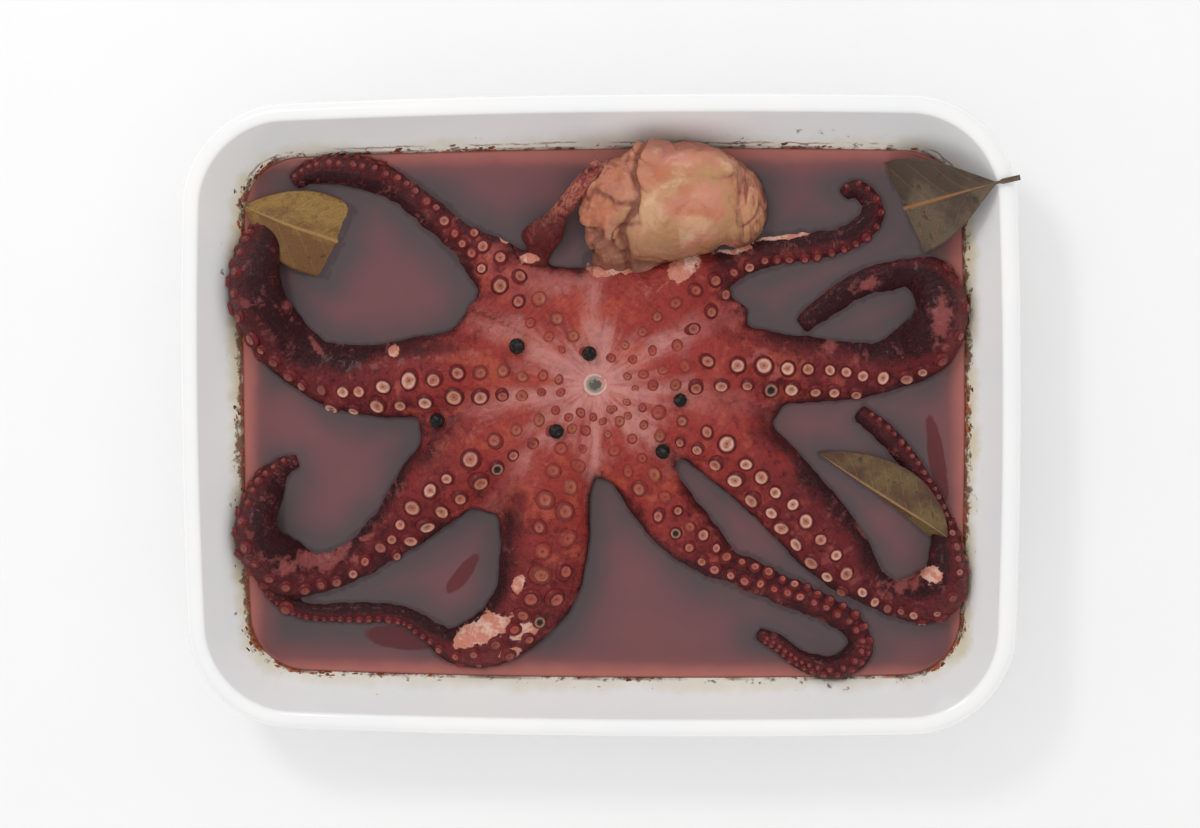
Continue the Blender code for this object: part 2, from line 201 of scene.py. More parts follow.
class Finish:
    """One material, written as expressions on Signals."""

    def __init__(self, name):
        self.material = bpy.data.materials.new(name)
        self.material.use_nodes = True
        self.tree = self.material.node_tree
        self.shader = self.tree.nodes["Principled BSDF"]
        self.place = self.node("ShaderNodeTexCoord", output="Object")

    def node(self, kind, settings=None, values=None, output=0):
        """A node with its settings made first, then its inputs fed; gives one output."""
        made = self.tree.nodes.new(kind)
        for key, value in (settings or {}).items():
            setattr(made, key, value)
        for key, value in (values or {}).items():
            self.feed(made.inputs[key], value)
        return Signal(self, made.outputs[output])

    def feed(self, socket, value):
        if isinstance(value, Signal):
            self.tree.links.new(value.socket, socket)
        elif socket.type == "RGBA" and len(value) == 3:
            socket.default_value = (*value, 1)
        else:
            socket.default_value = value

    def mix(self, factor, first, second):
        return self.node("ShaderNodeMix", {"data_type": "RGBA"},
                         {0: factor, 6: first, 7: second}, output=2)

    def attribute(self, name, output="Fac"):
        return self.node("ShaderNodeAttribute", {"attribute_name": name}, output=output)

    def axis(self, index, vector=None):
        return self.node("ShaderNodeSeparateXYZ", values={0: vector or self.place},
                         output=index)

    def grain(self, scale, detail=2.0, roughness=0.5, vector=None, distortion=0.0):
        return self.node("ShaderNodeTexNoise", None,
                         {"Vector": vector or self.place, "Scale": scale, "Detail": detail,
                          "Roughness": roughness, "Distortion": distortion}, output=0)

    def stretch(self, vector, scale):
        return self.node("ShaderNodeVectorMath", {"operation": "MULTIPLY"},
                         {0: vector, 1: scale})

    def distance_to(self, point):
        return self.node("ShaderNodeVectorMath", {"operation": "DISTANCE"},
                         {0: self.place, 1: point}, output="Value")

    def bump(self, height, depth, base=None):
        values = {"Height": height, "Distance": depth, "Strength": 1.0}
        if base:
            values["Normal"] = base
        return self.node("ShaderNodeBump", None, values)

    def paint(self, **inputs):
        """Feed the shader's inputs, with underscores for the spaces in their names."""
        for name, value in inputs.items():
            self.feed(self.shader.inputs[name.replace("_", " ")], value)
        return self.material


# --- Mesh helpers ------------------------------------------------------------------------------
def settings():
    return bpy.context.scene.octopus_dish


def new_object(name, mesh, material=None):
    made = bpy.data.objects.new(name, mesh)
    bpy.context.scene.collection.objects.link(made)
    if material:
        mesh.materials.clear()
        mesh.materials.append(material)
    return made


def plain_mesh(name, points, faces):
    mesh = bpy.data.meshes.new(name)
    mesh.from_pydata([tuple(point) for point in points], [], faces)
    mesh.validate()
    return mesh


def loft(name, rings, closed_ends=True):
    """Skin equal rings of points, given in order, into a closed smooth mesh."""
    count = len(rings[0])
    points = [point for ring in rings for point in ring]
    faces = []
    for row in range(len(rings) - 1):
        for i in range(count):
            j = (i + 1) % count
            faces.append((row * count + i, row * count + j,
                          (row + 1) * count + j, (row + 1) * count + i))
    if closed_ends:
        for row in (0, len(rings) - 1):
            points.append(np.mean(np.array(rings[row]), axis=0))
            hub = len(points) - 1
            faces += [(row * count + (i + 1) % count, row * count + i, hub)
                      for i in range(count)]
    mesh = plain_mesh(name, points, faces)
    face_outwards(mesh)
    return mesh


def face_outwards(mesh):
    bm = bmesh.new()
    bm.from_mesh(mesh)
    bmesh.ops.recalc_face_normals(bm, faces=bm.faces)
    bm.to_mesh(mesh)
    bm.free()
    mesh.shade_smooth()


def catmull_rom(before, start, end, after, count):
    t = (np.arange(count) / count)[:, None]
    return 0.5 * (2 * start + (end - before) * t
                  + (2 * before - 5 * start + 4 * end - after) * t ** 2
                  + (3 * start - before - 3 * end + after) * t ** 3)


def smooth_path(stations, step):
    """Rows about one step apart on a curve through the stations."""
    rows = np.array(stations, float)
    ends = np.vstack([2 * rows[0] - rows[1], rows, 2 * rows[-1] - rows[-2]])
    path = [catmull_rom(*four, max(1, round(float(np.linalg.norm((four[2] - four[1])[:2]))
                                              / step)))
            for four in zip(ends, ends[1:], ends[2:], ends[3:])]
    return np.vstack([*path, rows[-1:]])


def smooth_ring(corners, count):
    """A closed curve through the corners, with the same number of steps between each."""
    rows = np.array(corners, float)
    return np.vstack([catmull_rom(*(rows[(i + k) % len(rows)] for k in (-1, 0, 1, 2)), count)
                      for i in range(len(rows))])


def finished_mesh(thing):
    """The plain mesh that a thing's modifiers give."""
    graph = bpy.context.evaluated_depsgraph_get()
    mesh = bpy.data.meshes.new_from_object(thing.evaluated_get(graph))
    bpy.data.objects.remove(thing)
    return mesh


def one_skin(name, meshes, voxel, rounds):
    """Merge closed meshes into one smooth skin."""
    bm = bmesh.new()
    for mesh in meshes:
        bm.from_mesh(mesh)
    joined = bpy.data.meshes.new(name)
    bm.to_mesh(joined)
    bm.free()
    rough = new_object(name, joined)
    remesh = rough.modifiers.new("one_skin", "REMESH")
    remesh.mode = "VOXEL"
    remesh.voxel_size = voxel
    soften = rough.modifiers.new("soften", "SMOOTH")
    soften.factor = 0.5
    soften.iterations = rounds
    mesh = finished_mesh(rough)
    mesh.shade_smooth()
    return mesh


def relax(mesh, weight, rounds):
    """Draw every point towards its neighbours' middle, by its weight, over and over."""
    ends = np.empty(len(mesh.edges) * 2, np.int32)
    mesh.edges.foreach_get("vertices", ends)
    first, second = ends[0::2], ends[1::2]
    places = coordinates(mesh)
    count = np.bincount(ends, minlength=len(places))[:, None]
    for _ in range(rounds):
        total = np.column_stack([
            np.bincount(first, places[second, axis], len(places))
            + np.bincount(second, places[first, axis], len(places)) for axis in range(3)])
        places += 0.5 * weight[:, None] * (total / count - places)
    move_points(mesh, places)


def coordinates(mesh):
    flat = np.empty(len(mesh.vertices) * 3, np.float32)
    mesh.vertices.foreach_get("co", flat)
    return flat.reshape(-1, 3).astype(float)


def normals(mesh):
    flat = np.empty(len(mesh.vertices) * 3, np.float32)
    mesh.vertex_normals.foreach_get("vector", flat)
    return flat.reshape(-1, 3).astype(float)


def move_points(mesh, places):
    mesh.vertices.foreach_set("co", places.astype(np.float32).ravel())
    mesh.update()


def store(mesh, name, values):
    """Keep a number or a vector for every point, for the materials to read."""
    values = np.asarray(values, np.float32)
    kind, key = (("FLOAT", "value") if values.ndim == 1 else ("FLOAT_VECTOR", "vector"))
    layer = mesh.attributes.new(name, kind, "POINT")
    layer.data.foreach_set(key, values.ravel())


def relief(places, scale, offset=0.0):
    """Smooth noise from -1 to 1 at each place, with features of one scale."""
    return np.array([noise.noise(Vector(place) / scale + Vector((offset, 0, 0)))
                     for place in places])


def patch_field(places, patches):
    """How far inside the nearest ellipse each place lies: 1 at its middle, 0 at its edge."""
    field = np.full(len(places), -1.0)
    for x, y, half_length, half_width, angle in patches:
        turn = math.radians(angle)
        across = places[:, :2] - np.array((x, y)) * MM
        along = across[:, 0] * math.cos(turn) + across[:, 1] * math.sin(turn)
        aside = across[:, 1] * math.cos(turn) - across[:, 0] * math.sin(turn)
        reach = np.sqrt((along / half_length) ** 2 + (aside / half_width) ** 2) / MM
        field = np.maximum(field, 1 - reach)
    return field


def hand_over(piece, slot, *nodes):
    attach(piece, BODY)
    if nodes:
        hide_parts(*nodes)


# --- Instancing tree -----------------------------------------------------------------------
def link(tree, source, target):
    tree.links.new(source, target)


def scatter_tree(name):
    """Geometry nodes: a shape on every point, turned to 'facing' and scaled by 'size'."""
    tree = bpy.data.node_groups.new(name, "GeometryNodeTree")
    tree.interface.new_socket("Points", in_out="INPUT", socket_type="NodeSocketGeometry")
    tree.interface.new_socket("Shape", in_out="INPUT", socket_type="NodeSocketObject")
    tree.interface.new_socket("Scale", in_out="INPUT", socket_type="NodeSocketFloat")
    tree.interface.new_socket("Unevenness", in_out="INPUT", socket_type="NodeSocketFloat")
    tree.interface.new_socket("Spin", in_out="INPUT", socket_type="NodeSocketFloat")
    tree.interface.new_socket("Seed", in_out="INPUT", socket_type="NodeSocketInt")
    tree.interface.new_socket("Finish", in_out="INPUT", socket_type="NodeSocketMaterial")
    tree.interface.new_socket("Geometry", in_out="OUTPUT", socket_type="NodeSocketGeometry")
    given = tree.nodes.new("NodeGroupInput").outputs
    shape = tree.nodes.new("GeometryNodeObjectInfo")
    link(tree, given["Shape"], shape.inputs["Object"])

    facing = tree.nodes.new("GeometryNodeInputNamedAttribute")
    facing.data_type = "FLOAT_VECTOR"
    facing.inputs["Name"].default_value = "facing"
    align = tree.nodes.new("FunctionNodeAlignRotationToVector")
    align.axis = "Z"
    link(tree, facing.outputs["Attribute"], align.inputs["Vector"])
    ahead = tree.nodes.new("GeometryNodeInputNamedAttribute")
    ahead.data_type = "FLOAT_VECTOR"
    ahead.inputs["Name"].default_value = "ahead"
    steer = tree.nodes.new("FunctionNodeAlignRotationToVector")
    steer.axis = "X"
    steer.pivot_axis = "Z"
    link(tree, align.outputs[0], steer.inputs["Rotation"])
    link(tree, ahead.outputs["Attribute"], steer.inputs["Vector"])
    spin = tree.nodes.new("FunctionNodeRandomValue")
    spin.data_type = "FLOAT_VECTOR"
    spin.inputs[0].default_value = (0, 0, 0)
    spin.inputs[1].default_value = (0, 0, 1)
    link(tree, given["Seed"], spin.inputs["Seed"])
    spun = tree.nodes.new("ShaderNodeVectorMath")
    spun.operation = "SCALE"
    link(tree, spin.outputs[0], spun.inputs[0])
    link(tree, given["Spin"], spun.inputs["Scale"])
    euler = tree.nodes.new("FunctionNodeEulerToRotation")
    link(tree, spun.outputs[0], euler.inputs[0])
    turn = tree.nodes.new("FunctionNodeRotateRotation")
    turn.rotation_space = "LOCAL"
    link(tree, steer.outputs[0], turn.inputs[0])
    link(tree, euler.outputs[0], turn.inputs[1])

    size = tree.nodes.new("GeometryNodeInputNamedAttribute")
    size.data_type = "FLOAT"
    size.inputs["Name"].default_value = "size"
    scaled = tree.nodes.new("ShaderNodeMath")
    scaled.operation = "MULTIPLY"
    link(tree, size.outputs["Attribute"], scaled.inputs[0])
    link(tree, given["Scale"], scaled.inputs[1])
    squash = tree.nodes.new("FunctionNodeRandomValue")
    squash.data_type = "FLOAT_VECTOR"
    squash.inputs[0].default_value = (-1, -1, -1)
    squash.inputs[1].default_value = (1, 1, 1)
    link(tree, given["Seed"], squash.inputs["Seed"])
    uneven = tree.nodes.new("ShaderNodeVectorMath")
    uneven.operation = "SCALE"
    link(tree, squash.outputs[0], uneven.inputs[0])
    link(tree, given["Unevenness"], uneven.inputs["Scale"])
    about_one = tree.nodes.new("ShaderNodeVectorMath")
    about_one.operation = "ADD"
    about_one.inputs[1].default_value = (1, 1, 1)
    link(tree, uneven.outputs[0], about_one.inputs[0])
    final = tree.nodes.new("ShaderNodeVectorMath")
    final.operation = "SCALE"
    link(tree, about_one.outputs[0], final.inputs[0])
    link(tree, scaled.outputs[0], final.inputs["Scale"])

    place = tree.nodes.new("GeometryNodeInstanceOnPoints")
    link(tree, given["Points"], place.inputs["Points"])
    link(tree, shape.outputs["Geometry"], place.inputs["Instance"])
    link(tree, turn.outputs[0], place.inputs["Rotation"])
    link(tree, final.outputs[0], place.inputs["Scale"])
    realize = tree.nodes.new("GeometryNodeRealizeInstances")
    link(tree, place.outputs[0], realize.inputs[0])
    paint = tree.nodes.new("GeometryNodeSetMaterial")
    link(tree, realize.outputs[0], paint.inputs["Geometry"])
    link(tree, given["Finish"], paint.inputs["Material"])
    result = tree.nodes.new("NodeGroupOutput")
    link(tree, paint.outputs[0], result.inputs[0])
    return tree


def scatter(name, shape_mesh, points, material, unevenness, seed, spin=2 * math.pi):
    """Copies of one small mesh at points given as dicts of place, facing, size and tone."""
    shape = new_object(f"{name}_shape", shape_mesh)
    cloud = bpy.data.meshes.new(f"{name}_points")
    cloud.from_pydata([tuple(point["place"]) for point in points], [], [])
    store(cloud, "facing", [tuple(point["facing"]) for point in points])
    store(cloud, "ahead", [tuple(point.get("ahead", (1, 0, 0))) for point in points])
    store(cloud, "size", [point["size"] for point in points])
    store(cloud, "tone", [point["tone"] for point in points])
    carrier = new_object(f"{name}_carrier", cloud)
    modifier = carrier.modifiers.new("scatter", "NODES")
    modifier.node_group = scatter_tree(f"{name}_tree")
    given = {"Shape": shape, "Scale": 1.0, "Unevenness": unevenness, "Spin": spin,
             "Seed": seed, "Finish": material}
    for socket in modifier.node_group.interface.items_tree:
        if socket.name in given:
            modifier[socket.identifier] = given[socket.name]
    mesh = finished_mesh(carrier)
    bpy.data.objects.remove(shape)
    mesh.shade_smooth()
    return new_object(name, mesh, material)


# --- Tin outline -------------------------------------------------------------------------------
def corner_radius(inset):
    dish = settings().tin
    return max(dish.rim_corner - 0.9 * inset, dish.floor_corner)


def bowed(x, y, half_x, half_y):
    bow = settings().tin.side_bow
    return (x * (1 - bow / TIN_HALF_LENGTH * (y / half_y) ** 2),
            y * (1 - bow / TIN_HALF_WIDTH * (x / half_x) ** 2))


def outline(inset, height, corner_steps=14, side_steps=22):
    """One level of the tin: a rectangle with round corners and gently bowed sides."""
    half_x = TIN_HALF_LENGTH - inset
    half_y = TIN_HALF_WIDTH - inset
    radius = corner_radius(inset)
    flat = []
    for quarter, (sign_x, sign_y) in enumerate(((1, 1), (-1, 1), (-1, -1), (1, -1))):
        centre = np.array((sign_x * (half_x - radius), sign_y * (half_y - radius)))
        arc = [centre + radius * np.array((math.cos(angle), math.sin(angle)))
               for angle in np.linspace(quarter, quarter + 1, corner_steps + 1) * math.pi / 2]
        flat += arc
        if quarter % 2:
            following = np.array((sign_x * half_x, -sign_y * (half_y - radius)))
        else:
            following = np.array((-sign_x * (half_x - radius), sign_y * half_y))
        flat += [arc[-1] + (following - arc[-1]) * i / side_steps
                 for i in range(1, side_steps)]
    return [(*bowed(x, y, half_x, half_y), height) for x, y in flat]


def wall_line(offset):
    """The inner wall's profile, moved by an offset into the metal if positive."""
    profile = np.array(INNER_WALL) * MM
    moved = []
    for i, point in enumerate(profile):
        before, after = profile[max(i - 1, 0)], profile[min(i + 1, len(profile) - 1)]
        along = (after - before) / np.linalg.norm(after - before)
        outward = np.array((-abs(along[1]), -abs(along[0])))
        if i == len(profile) - 1:
            outward = np.array((0.0, -1.0))
        moved.append(point + offset * outward)
    return moved


def inset_at(height):
    """How far inside the rim the wall's inner face is at a height."""
    insets, heights = zip(*INNER_WALL)
    return float(np.interp(height / MM, heights[::-1], insets[::-1])) * MM


# --- Arms ----------------------------------------------------------------------------------------
def wall_clearance(x, y, z):
    inset = min(TIN_HALF_LENGTH - abs(x), TIN_HALF_WIDTH - abs(y))
    profile = np.array(INNER_WALL) * MM
    start, end = profile[:-1], profile[1:]
    along = end - start
    point = np.array((inset, z))
    share = np.clip(np.sum((point - start) * along, 1) / np.sum(along ** 2, 1), 0, 1)
    gaps = np.linalg.norm(point - start - share[:, None] * along, axis=1)
    return min(float(gaps.min()), z - profile[-1][1])


def arm_height(x, y, half_height):
    """Height of an arm's middle: it floats, or lies on the tin with a film under it."""
    animal = settings().octopus
    height = LEVEL + animal.float_rise - half_height
    while wall_clearance(x, y, height) < half_height + animal.film and height < TIN_HEIGHT:
        height += MM / 2
    return height


class Arm:
    """An arm's middle line with its frames, for its skin, its suckers and its colours."""

    def __init__(self, places, half_widths, half_heights, rolls):
        self.places = places
        self.half_widths = half_widths
        self.half_heights = half_heights
        self.rolls = rolls
        ahead = np.gradient(places, axis=0)
        self.ahead = ahead / np.linalg.norm(ahead, axis=1)[:, None]
        side = np.cross(self.ahead, (0, 0, 1))
        self.side = side / np.linalg.norm(side, axis=1)[:, None]
        self.lift = np.cross(self.side, self.ahead)
        steps = np.linalg.norm(np.diff(places, axis=0), axis=1)
        self.along = np.concatenate([[0], np.cumsum(steps)])
        self.share = self.along / self.along[-1]

    def mesh(self, name, sides=24):
        rings = []
        for i in range(len(self.places)):
            angles = np.arange(sides) / sides * 2 * math.pi
            ring = (self.places[i]
                    + np.outer(np.cos(angles) * self.half_widths[i], self.side[i])
                    + np.outer(np.sin(angles) * self.half_heights[i], self.lift[i]))
            rings.append([tuple(point) for point in ring])
        return loft(name, rings)


def make_arms():
    flatness = settings().octopus.flatness
    arms = {}
    for name, (stations, first_roll, last_roll) in ARMS.items():
        path = smooth_path(stations, 2.0)
        half_widths = path[:, 2] * MM
        half_heights = half_widths * flatness
        heights = [arm_height(x * MM, y * MM, high)
                   for (x, y), high in zip(path[:, :2], half_heights)]
        heights = np.convolve(np.pad(heights, 3, mode="edge"), np.ones(7) / 7, "valid")
        places = np.column_stack([path[:, :2] * MM, heights])
        share = np.linspace(0, 1, len(path))
        turn = np.clip((share - 0.4) / 0.3, 0, 1)
        rolls = np.radians(first_roll + (last_roll - first_roll) * turn * turn * (3 - 2 * turn))
        arms[name] = Arm(places, half_widths, half_heights, rolls)
    return arms


def web_mesh():
    """The skin between the arms: a star-shaped dish with a blunt rim at the broth's level."""
    animal = settings().octopus
    arm_tops = [stations[2][:2] for stations, _, _ in ARMS.values()]
    rim = []
    for i, arm_top in enumerate(arm_tops):
        rim.append(arm_top)
        if i < len(WEB_NOTCHES):
            rim.append(WEB_NOTCHES[i])
    rim = smooth_ring([*rim, *WEB_BACK_EDGE], 8) * MM
    hub = np.array(MOUTH) * MM
    low = LEVEL - 7.5 * MM
    top = LEVEL + animal.web_rise
    rings = []
    for share, height in ((0.05, low), (0.75, low), (0.95, low + 3 * MM), (1, LEVEL - 3 * MM),
                          (1.0, LEVEL + 2.2 * MM), (0.9, LEVEL + 4.0 * MM), (0.6, top),
                          (0.25, top + 0.5 * MM), (0.05, top - 0.5 * MM)):
        rings.append([(*point, height) for point in hub + share * (rim - hub)])
    return loft("web", rings)


def fold_arm():
    path = smooth_path(SKIN_FOLD, 2.0)
    return Arm(path[:, :3] * MM, path[:, 3] * MM, path[:, 4] * MM, np.zeros(len(path)))


def nearest_samples(places, arms):
    """For every place, the arm sample it belongs to and how far the next arm is behind."""
    centres = np.vstack([arm.places for arm in arms])
    widths = np.concatenate([arm.half_widths for arm in arms])
    starts = np.cumsum([0] + [len(arm.places) for arm in arms[:-1]])
    best = np.empty(len(places), int)
    gap = np.empty(len(places))
    for start in range(0, len(places), 4000):
        chunk = places[start:start + 4000]
        reach = np.linalg.norm(chunk[:, None, :] - centres[None], axis=2)
        best[start:start + 4000] = (reach / widths).argmin(1)
        nearest = np.sort(np.minimum.reduceat(reach, starts, axis=1), axis=1)
        gap[start:start + 4000] = nearest[:, 1] - nearest[:, 0]
    return best, gap


def build_arm_skin(arms):
    """Arms, web and fold in one skin, wrinkled, with what its material needs to know."""
    animal = settings().octopus
    lines = [*arms.values(), fold_arm()]
    meshes = [line.mesh(f"tube_{i}") for i, line in enumerate(lines)]
    mesh = one_skin("octopus_skin", [*meshes, web_mesh()], animal.voxel, 5)
    places = coordinates(mesh)
    hub = np.array(MOUTH) * MM
    reach = np.linalg.norm(places[:, :2] - hub, axis=1)
    relax(mesh, np.clip((78 * MM - reach) / (30 * MM), 0.0, 1), 45)
    places = coordinates(mesh)
    sample, gap = nearest_samples(places, lines)

    def join(key):
        return np.concatenate([getattr(line, key) for line in lines])

    centres, side, lift = (np.vstack([getattr(line, key) for line in lines])
                           for key in ("places", "side", "lift"))
    across = places - centres[sample]
    right = np.sum(across * side[sample], 1) / join("half_widths")[sample]
    up = np.sum(across * lift[sample], 1) / join("half_heights")[sample]
    around = np.arctan2(right, up) - join("rolls")[sample]
    around = (around + math.pi) % (2 * math.pi) - math.pi
    share, along = join("share")[sample], join("along")[sample]
    number = np.concatenate([np.full(len(line.places), i) for i, line in enumerate(lines)])
    number = number[sample]
    reach = np.linalg.norm(places[:, :2] - hub, axis=1)
    turn = np.arctan2(*(places[:, :2] - hub).T)

    thick = np.clip(join("half_widths")[sample] / (10 * MM), 0.3, 1)
    lumps = relief(places, 9 * MM) * 0.5 + relief(places, 3.2 * MM, 5.0) * 0.32
    lumps += relief(places, 1.6 * MM, 9.0) * 0.16
    valley = np.exp(-(gap / (2.2 * MM)) ** 2) * np.clip((70 * MM - reach) / (20 * MM), 0, 1)
    pleat = np.sin(turn * 26 + 2 * relief(places, 8 * MM, 7.0))
    pleat *= np.clip((26 * MM - reach) / (12 * MM), 0, 1) * 0.16
    wrinkle = np.sin(along / (0.42 * MM) + 2.5 * relief(places, 5 * MM, 3.0))
    wrinkle *= np.clip((share - 0.3) * 3, 0, 1) * np.clip(np.abs(around) - 0.5, 0, 1)
    swell = lumps * thick + 0.14 * wrinkle + pleat - 0.7 * valley
    move_points(mesh, places + normals(mesh) * (swell * MM)[:, None])

    fold = number == len(arms)
    store(mesh, "share", np.where(fold, 0.45 + 0.5 * share, share))
    store(mesh, "around", np.abs(around) / math.pi)
    store(mesh, "gap", np.where(fold, 1.0, gap))
    store(mesh, "flow", np.column_stack([along * 100, around * 1.5, number * 7.3]))
    store(mesh, "rays", np.column_stack([np.cos(turn) * 2.5, np.sin(turn) * 2.5, reach * 22]))
    store(mesh, "peel", patch_field(places, PEELED))
    store(mesh, "rub", patch_field(places, RUBBED))
    return mesh


def flesh_finish():
    hues = settings().octopus
    skin = Finish("octopus_skin")
    blotch = skin.grain(48, 3, 0.55)
    patch = skin.grain(120, 3, 0.6)
    mottle = skin.grain(330, 4, 0.62)
    pores = skin.grain(1500, 3, 0.6)
    share, around, gap = (skin.attribute(name) for name in ("share", "around", "gap"))
    flow = skin.attribute("flow", "Vector")
    streak = skin.grain(3.0, 3, 0.6, skin.stretch(flow, (2.6, 0.5, 1.0)), 0.4)
    fibre = skin.grain(9.0, 2, 0.6, skin.stretch(flow, (0.35, 3.0, 1.0)), 0.3)
    clear = gap.rise(0.0005, 0.005)
    streak = 0.5 + (streak - 0.5) * clear
    fibre = 0.5 + (fibre - 0.5) * clear
    rays = skin.grain(1.9, 4, 0.6, skin.attribute("rays", "Vector"), 0.3)
    reach = skin.distance_to((MOUTH[0] * MM, MOUTH[1] * MM, LEVEL + 8 * MM))
    height = skin.axis(2)

    hue = skin.mix((reach + (blotch - 0.5) * 0.10 + (patch - 0.5) * 0.04).rise(0.035, 0.095),
                   hues.red, hues.crimson)
    hue = skin.mix((patch + (blotch - 0.5) * 0.8).rise(0.5, 0.68)
                   * (1 - reach.rise(0.05, 0.13)) * 0.75, hue, hues.orange)
    centre = 1 - (reach + (rays - 0.5) * 0.035 + (patch - 0.5) * 0.012).rise(0.003, 0.025)
    line = 1 - (gap + (rays - 0.5) * 0.024 + (patch - 0.5) * 0.018).rise(-0.002, 0.011)
    line = line * (1 - (reach + (blotch - 0.5) * 0.03).rise(0.025, 0.062))
    hue = skin.mix(centre.most(line * 0.8), hue, hues.pale)
    web = (1 - gap.rise(0.002, 0.016)) * (reach.rise(0.03, 0.05) * (1 - reach.rise(0.06, 0.085)))
    hue = skin.mix(web * patch.rise(0.4, 0.55) * 0.4, hue, hues.web_pink)
    back = (around + (mottle - 0.5) * 0.16 + (blotch - 0.5) * 0.3
            + (patch - 0.5) * 0.2).rise(0.22, 0.38)
    back = back * (reach + (blotch - 0.5) * 0.06).rise(0.045, 0.085)
    # Painted shade: skin within about 4 mm above the broth darkens towards maroon, where the arms
    # dip in.
    low = 1 - (height + (patch - 0.5) * 0.006).rise(LEVEL + 0.3 * MM, LEVEL + 4.2 * MM)
    dusk = (share + (streak - 0.5) * 0.35 + (patch - 0.5) * 0.3).rise(0.5, 0.85) * 0.7
    # The maroon backs and tips are the skin's own colour; the band low at the broth is painted
    # shade.
    dark = back.most(low * 0.9).most(dusk)
    hue = skin.mix(dark, hue, hues.maroon)
    blush = (patch + (streak - 0.5) * 0.9).rise(0.56, 0.76) * reach.rise(0.03, 0.07)
    hue = skin.mix(blush * 0.36, hue, hues.web_pink)
    hue = skin.mix(fibre.rise(0.58, 0.74) * 0.3, hue, hues.orange)
    outer = 0.25 + 0.4 * reach.rise(0.03, 0.08)
    hue = skin.mix((1 - mottle.rise(0.28, 0.52)) * outer, hue, hues.maroon)
    hue = skin.mix((1 - patch.rise(0.28, 0.44)) * outer, hue, hues.maroon)
    fold = skin.axis(1).rise(0.068, 0.084) * skin.axis(0).rise(-0.027, -0.023)
    fold = fold * (1 - skin.axis(0).rise(0.004, 0.008)) * (streak + patch - 0.5).rise(0.3, 0.7)
    hue = skin.mix(fold * 0.6, hue, hues.raw)
    rub = (skin.attribute("rub") + (mottle - 0.5) * 2.2 + (patch - 0.5) * 1.4).rise(0.1, 0.7)
    hue = skin.mix(rub * 0.55, hue, hues.web_pink)
    peel = (skin.attribute("peel") + (mottle - 0.5) * 1.2
            + (patch - 0.5) * 1.6).rise(0.06, 0.22)
    flesh = skin.mix((patch + (mottle - 0.5)).rise(0.4, 0.6), hues.peeled, hues.raw)
    hue = skin.mix(peel * 0.95, hue, flesh)
    rough = 0.27 + 0.16 * mottle.rise(0.3, 0.7) + 0.12 * peel
    uneven = mottle * 0.7 + pores * 0.25 + streak * 0.5 + patch * 0.6 - peel * 0.3
    return skin.paint(Base_Color=hue, Roughness=rough, Normal=skin.bump(uneven, 1.2 * MM),
                      Specular_IOR_Level=0.38, Coat_Weight=0.06, Coat_Roughness=0.12)


# --- Suckers -------------------------------------------------------------------------------------
def sucker_mesh(segments=20):
    """A cup one unit in radius: low skirt, soft swollen rim, shallow dish and a dimple."""
    profile = ((1.1, -0.35), (1.02, -0.02), (0.90, 0.16), (0.76, 0.33), (0.62, 0.40),
               (0.48, 0.36), (0.36, 0.28), (0.25, 0.29), (0.14, 0.26), (0.06, 0.16))
    rings = [[(radius * math.cos(2 * math.pi * k / segments),
               radius * math.sin(2 * math.pi * k / segments), height)
              for k in range(segments)] for radius, height in profile]
    mesh = loft("sucker", rings)
    store(mesh, "ring", np.linalg.norm(coordinates(mesh)[:, :2], axis=1))
    return mesh


def arm_at(arm, along):
    """An arm's half width and middle at a distance along it."""
    half_width, *place = (float(np.interp(along, arm.along, column))
                          for column in (arm.half_widths, *arm.places.T))
    return half_width, Vector(place)


def sucker_points(arms, skin):
    """Two staggered rows along each arm, small at the mouth and towards the tip."""
    sizes = settings().suckers
    chance = random.Random(sizes.seed)
    hub = Vector(MOUTH) * MM
    points = []
    for name, arm in arms.items():
        for row in (-1, 1):
            along = 0.0 if row < 0 else ROW_STAGGER
            while along < arm.along[-1] * 0.985:
                half_width, middle = arm_at(arm, along)
                reach = (middle.xy - hub).length
                wide = min(1.0 * MM + sizes.per_width * half_width,
                           2.7 * MM + sizes.per_reach * reach)
                wide *= chance.uniform(0.82, 1.15)
                aside = row * min(0.33 * half_width, 1.3 * MM + 0.11 * reach)
                aside *= chance.uniform(0.75, 1.2)
                i = int(np.searchsorted(arm.along, along))
                angle = arm.rolls[i] * min(1, reach / 0.03) + math.asin(aside / half_width)
                out = Vector(math.sin(angle) * arm.side[i] + math.cos(angle) * arm.lift[i])
                hit, facing, _, _ = skin.ray_cast(middle + out * 1.4 * half_width, -out,
                                                  1.4 * half_width)
                share = along / arm.along[-1]
                grown = min(1, max(0, (reach - YOUNG_REACH) / GROWING))
                along += (wide * sizes.spacing * chance.uniform(0.9, 1.12)
                          * (1 + 0.4 * (1 - grown)))
                if (hit is None or hit.z < LEVEL + 0.6 * MM
                        or (hit.xy - hub).length < MOUTH_CLEARANCE):
                    continue
                cream = CREAM[name] * grown * (1.25 - 0.8 * share) + chance.uniform(-0.2, 0.2)
                if chance.random() < 0.03 and 0.2 < share < 0.7:
                    cream = BURNT_CREAM
                sunk = 0.02 + 0.045 * (1 - grown)
                points.append({"place": hit - facing * sunk * wide,
                               "facing": (facing + out * 0.4).normalized(),
                               "size": wide / 2,
                               "tone": (cream, share, chance.random())})
    return points


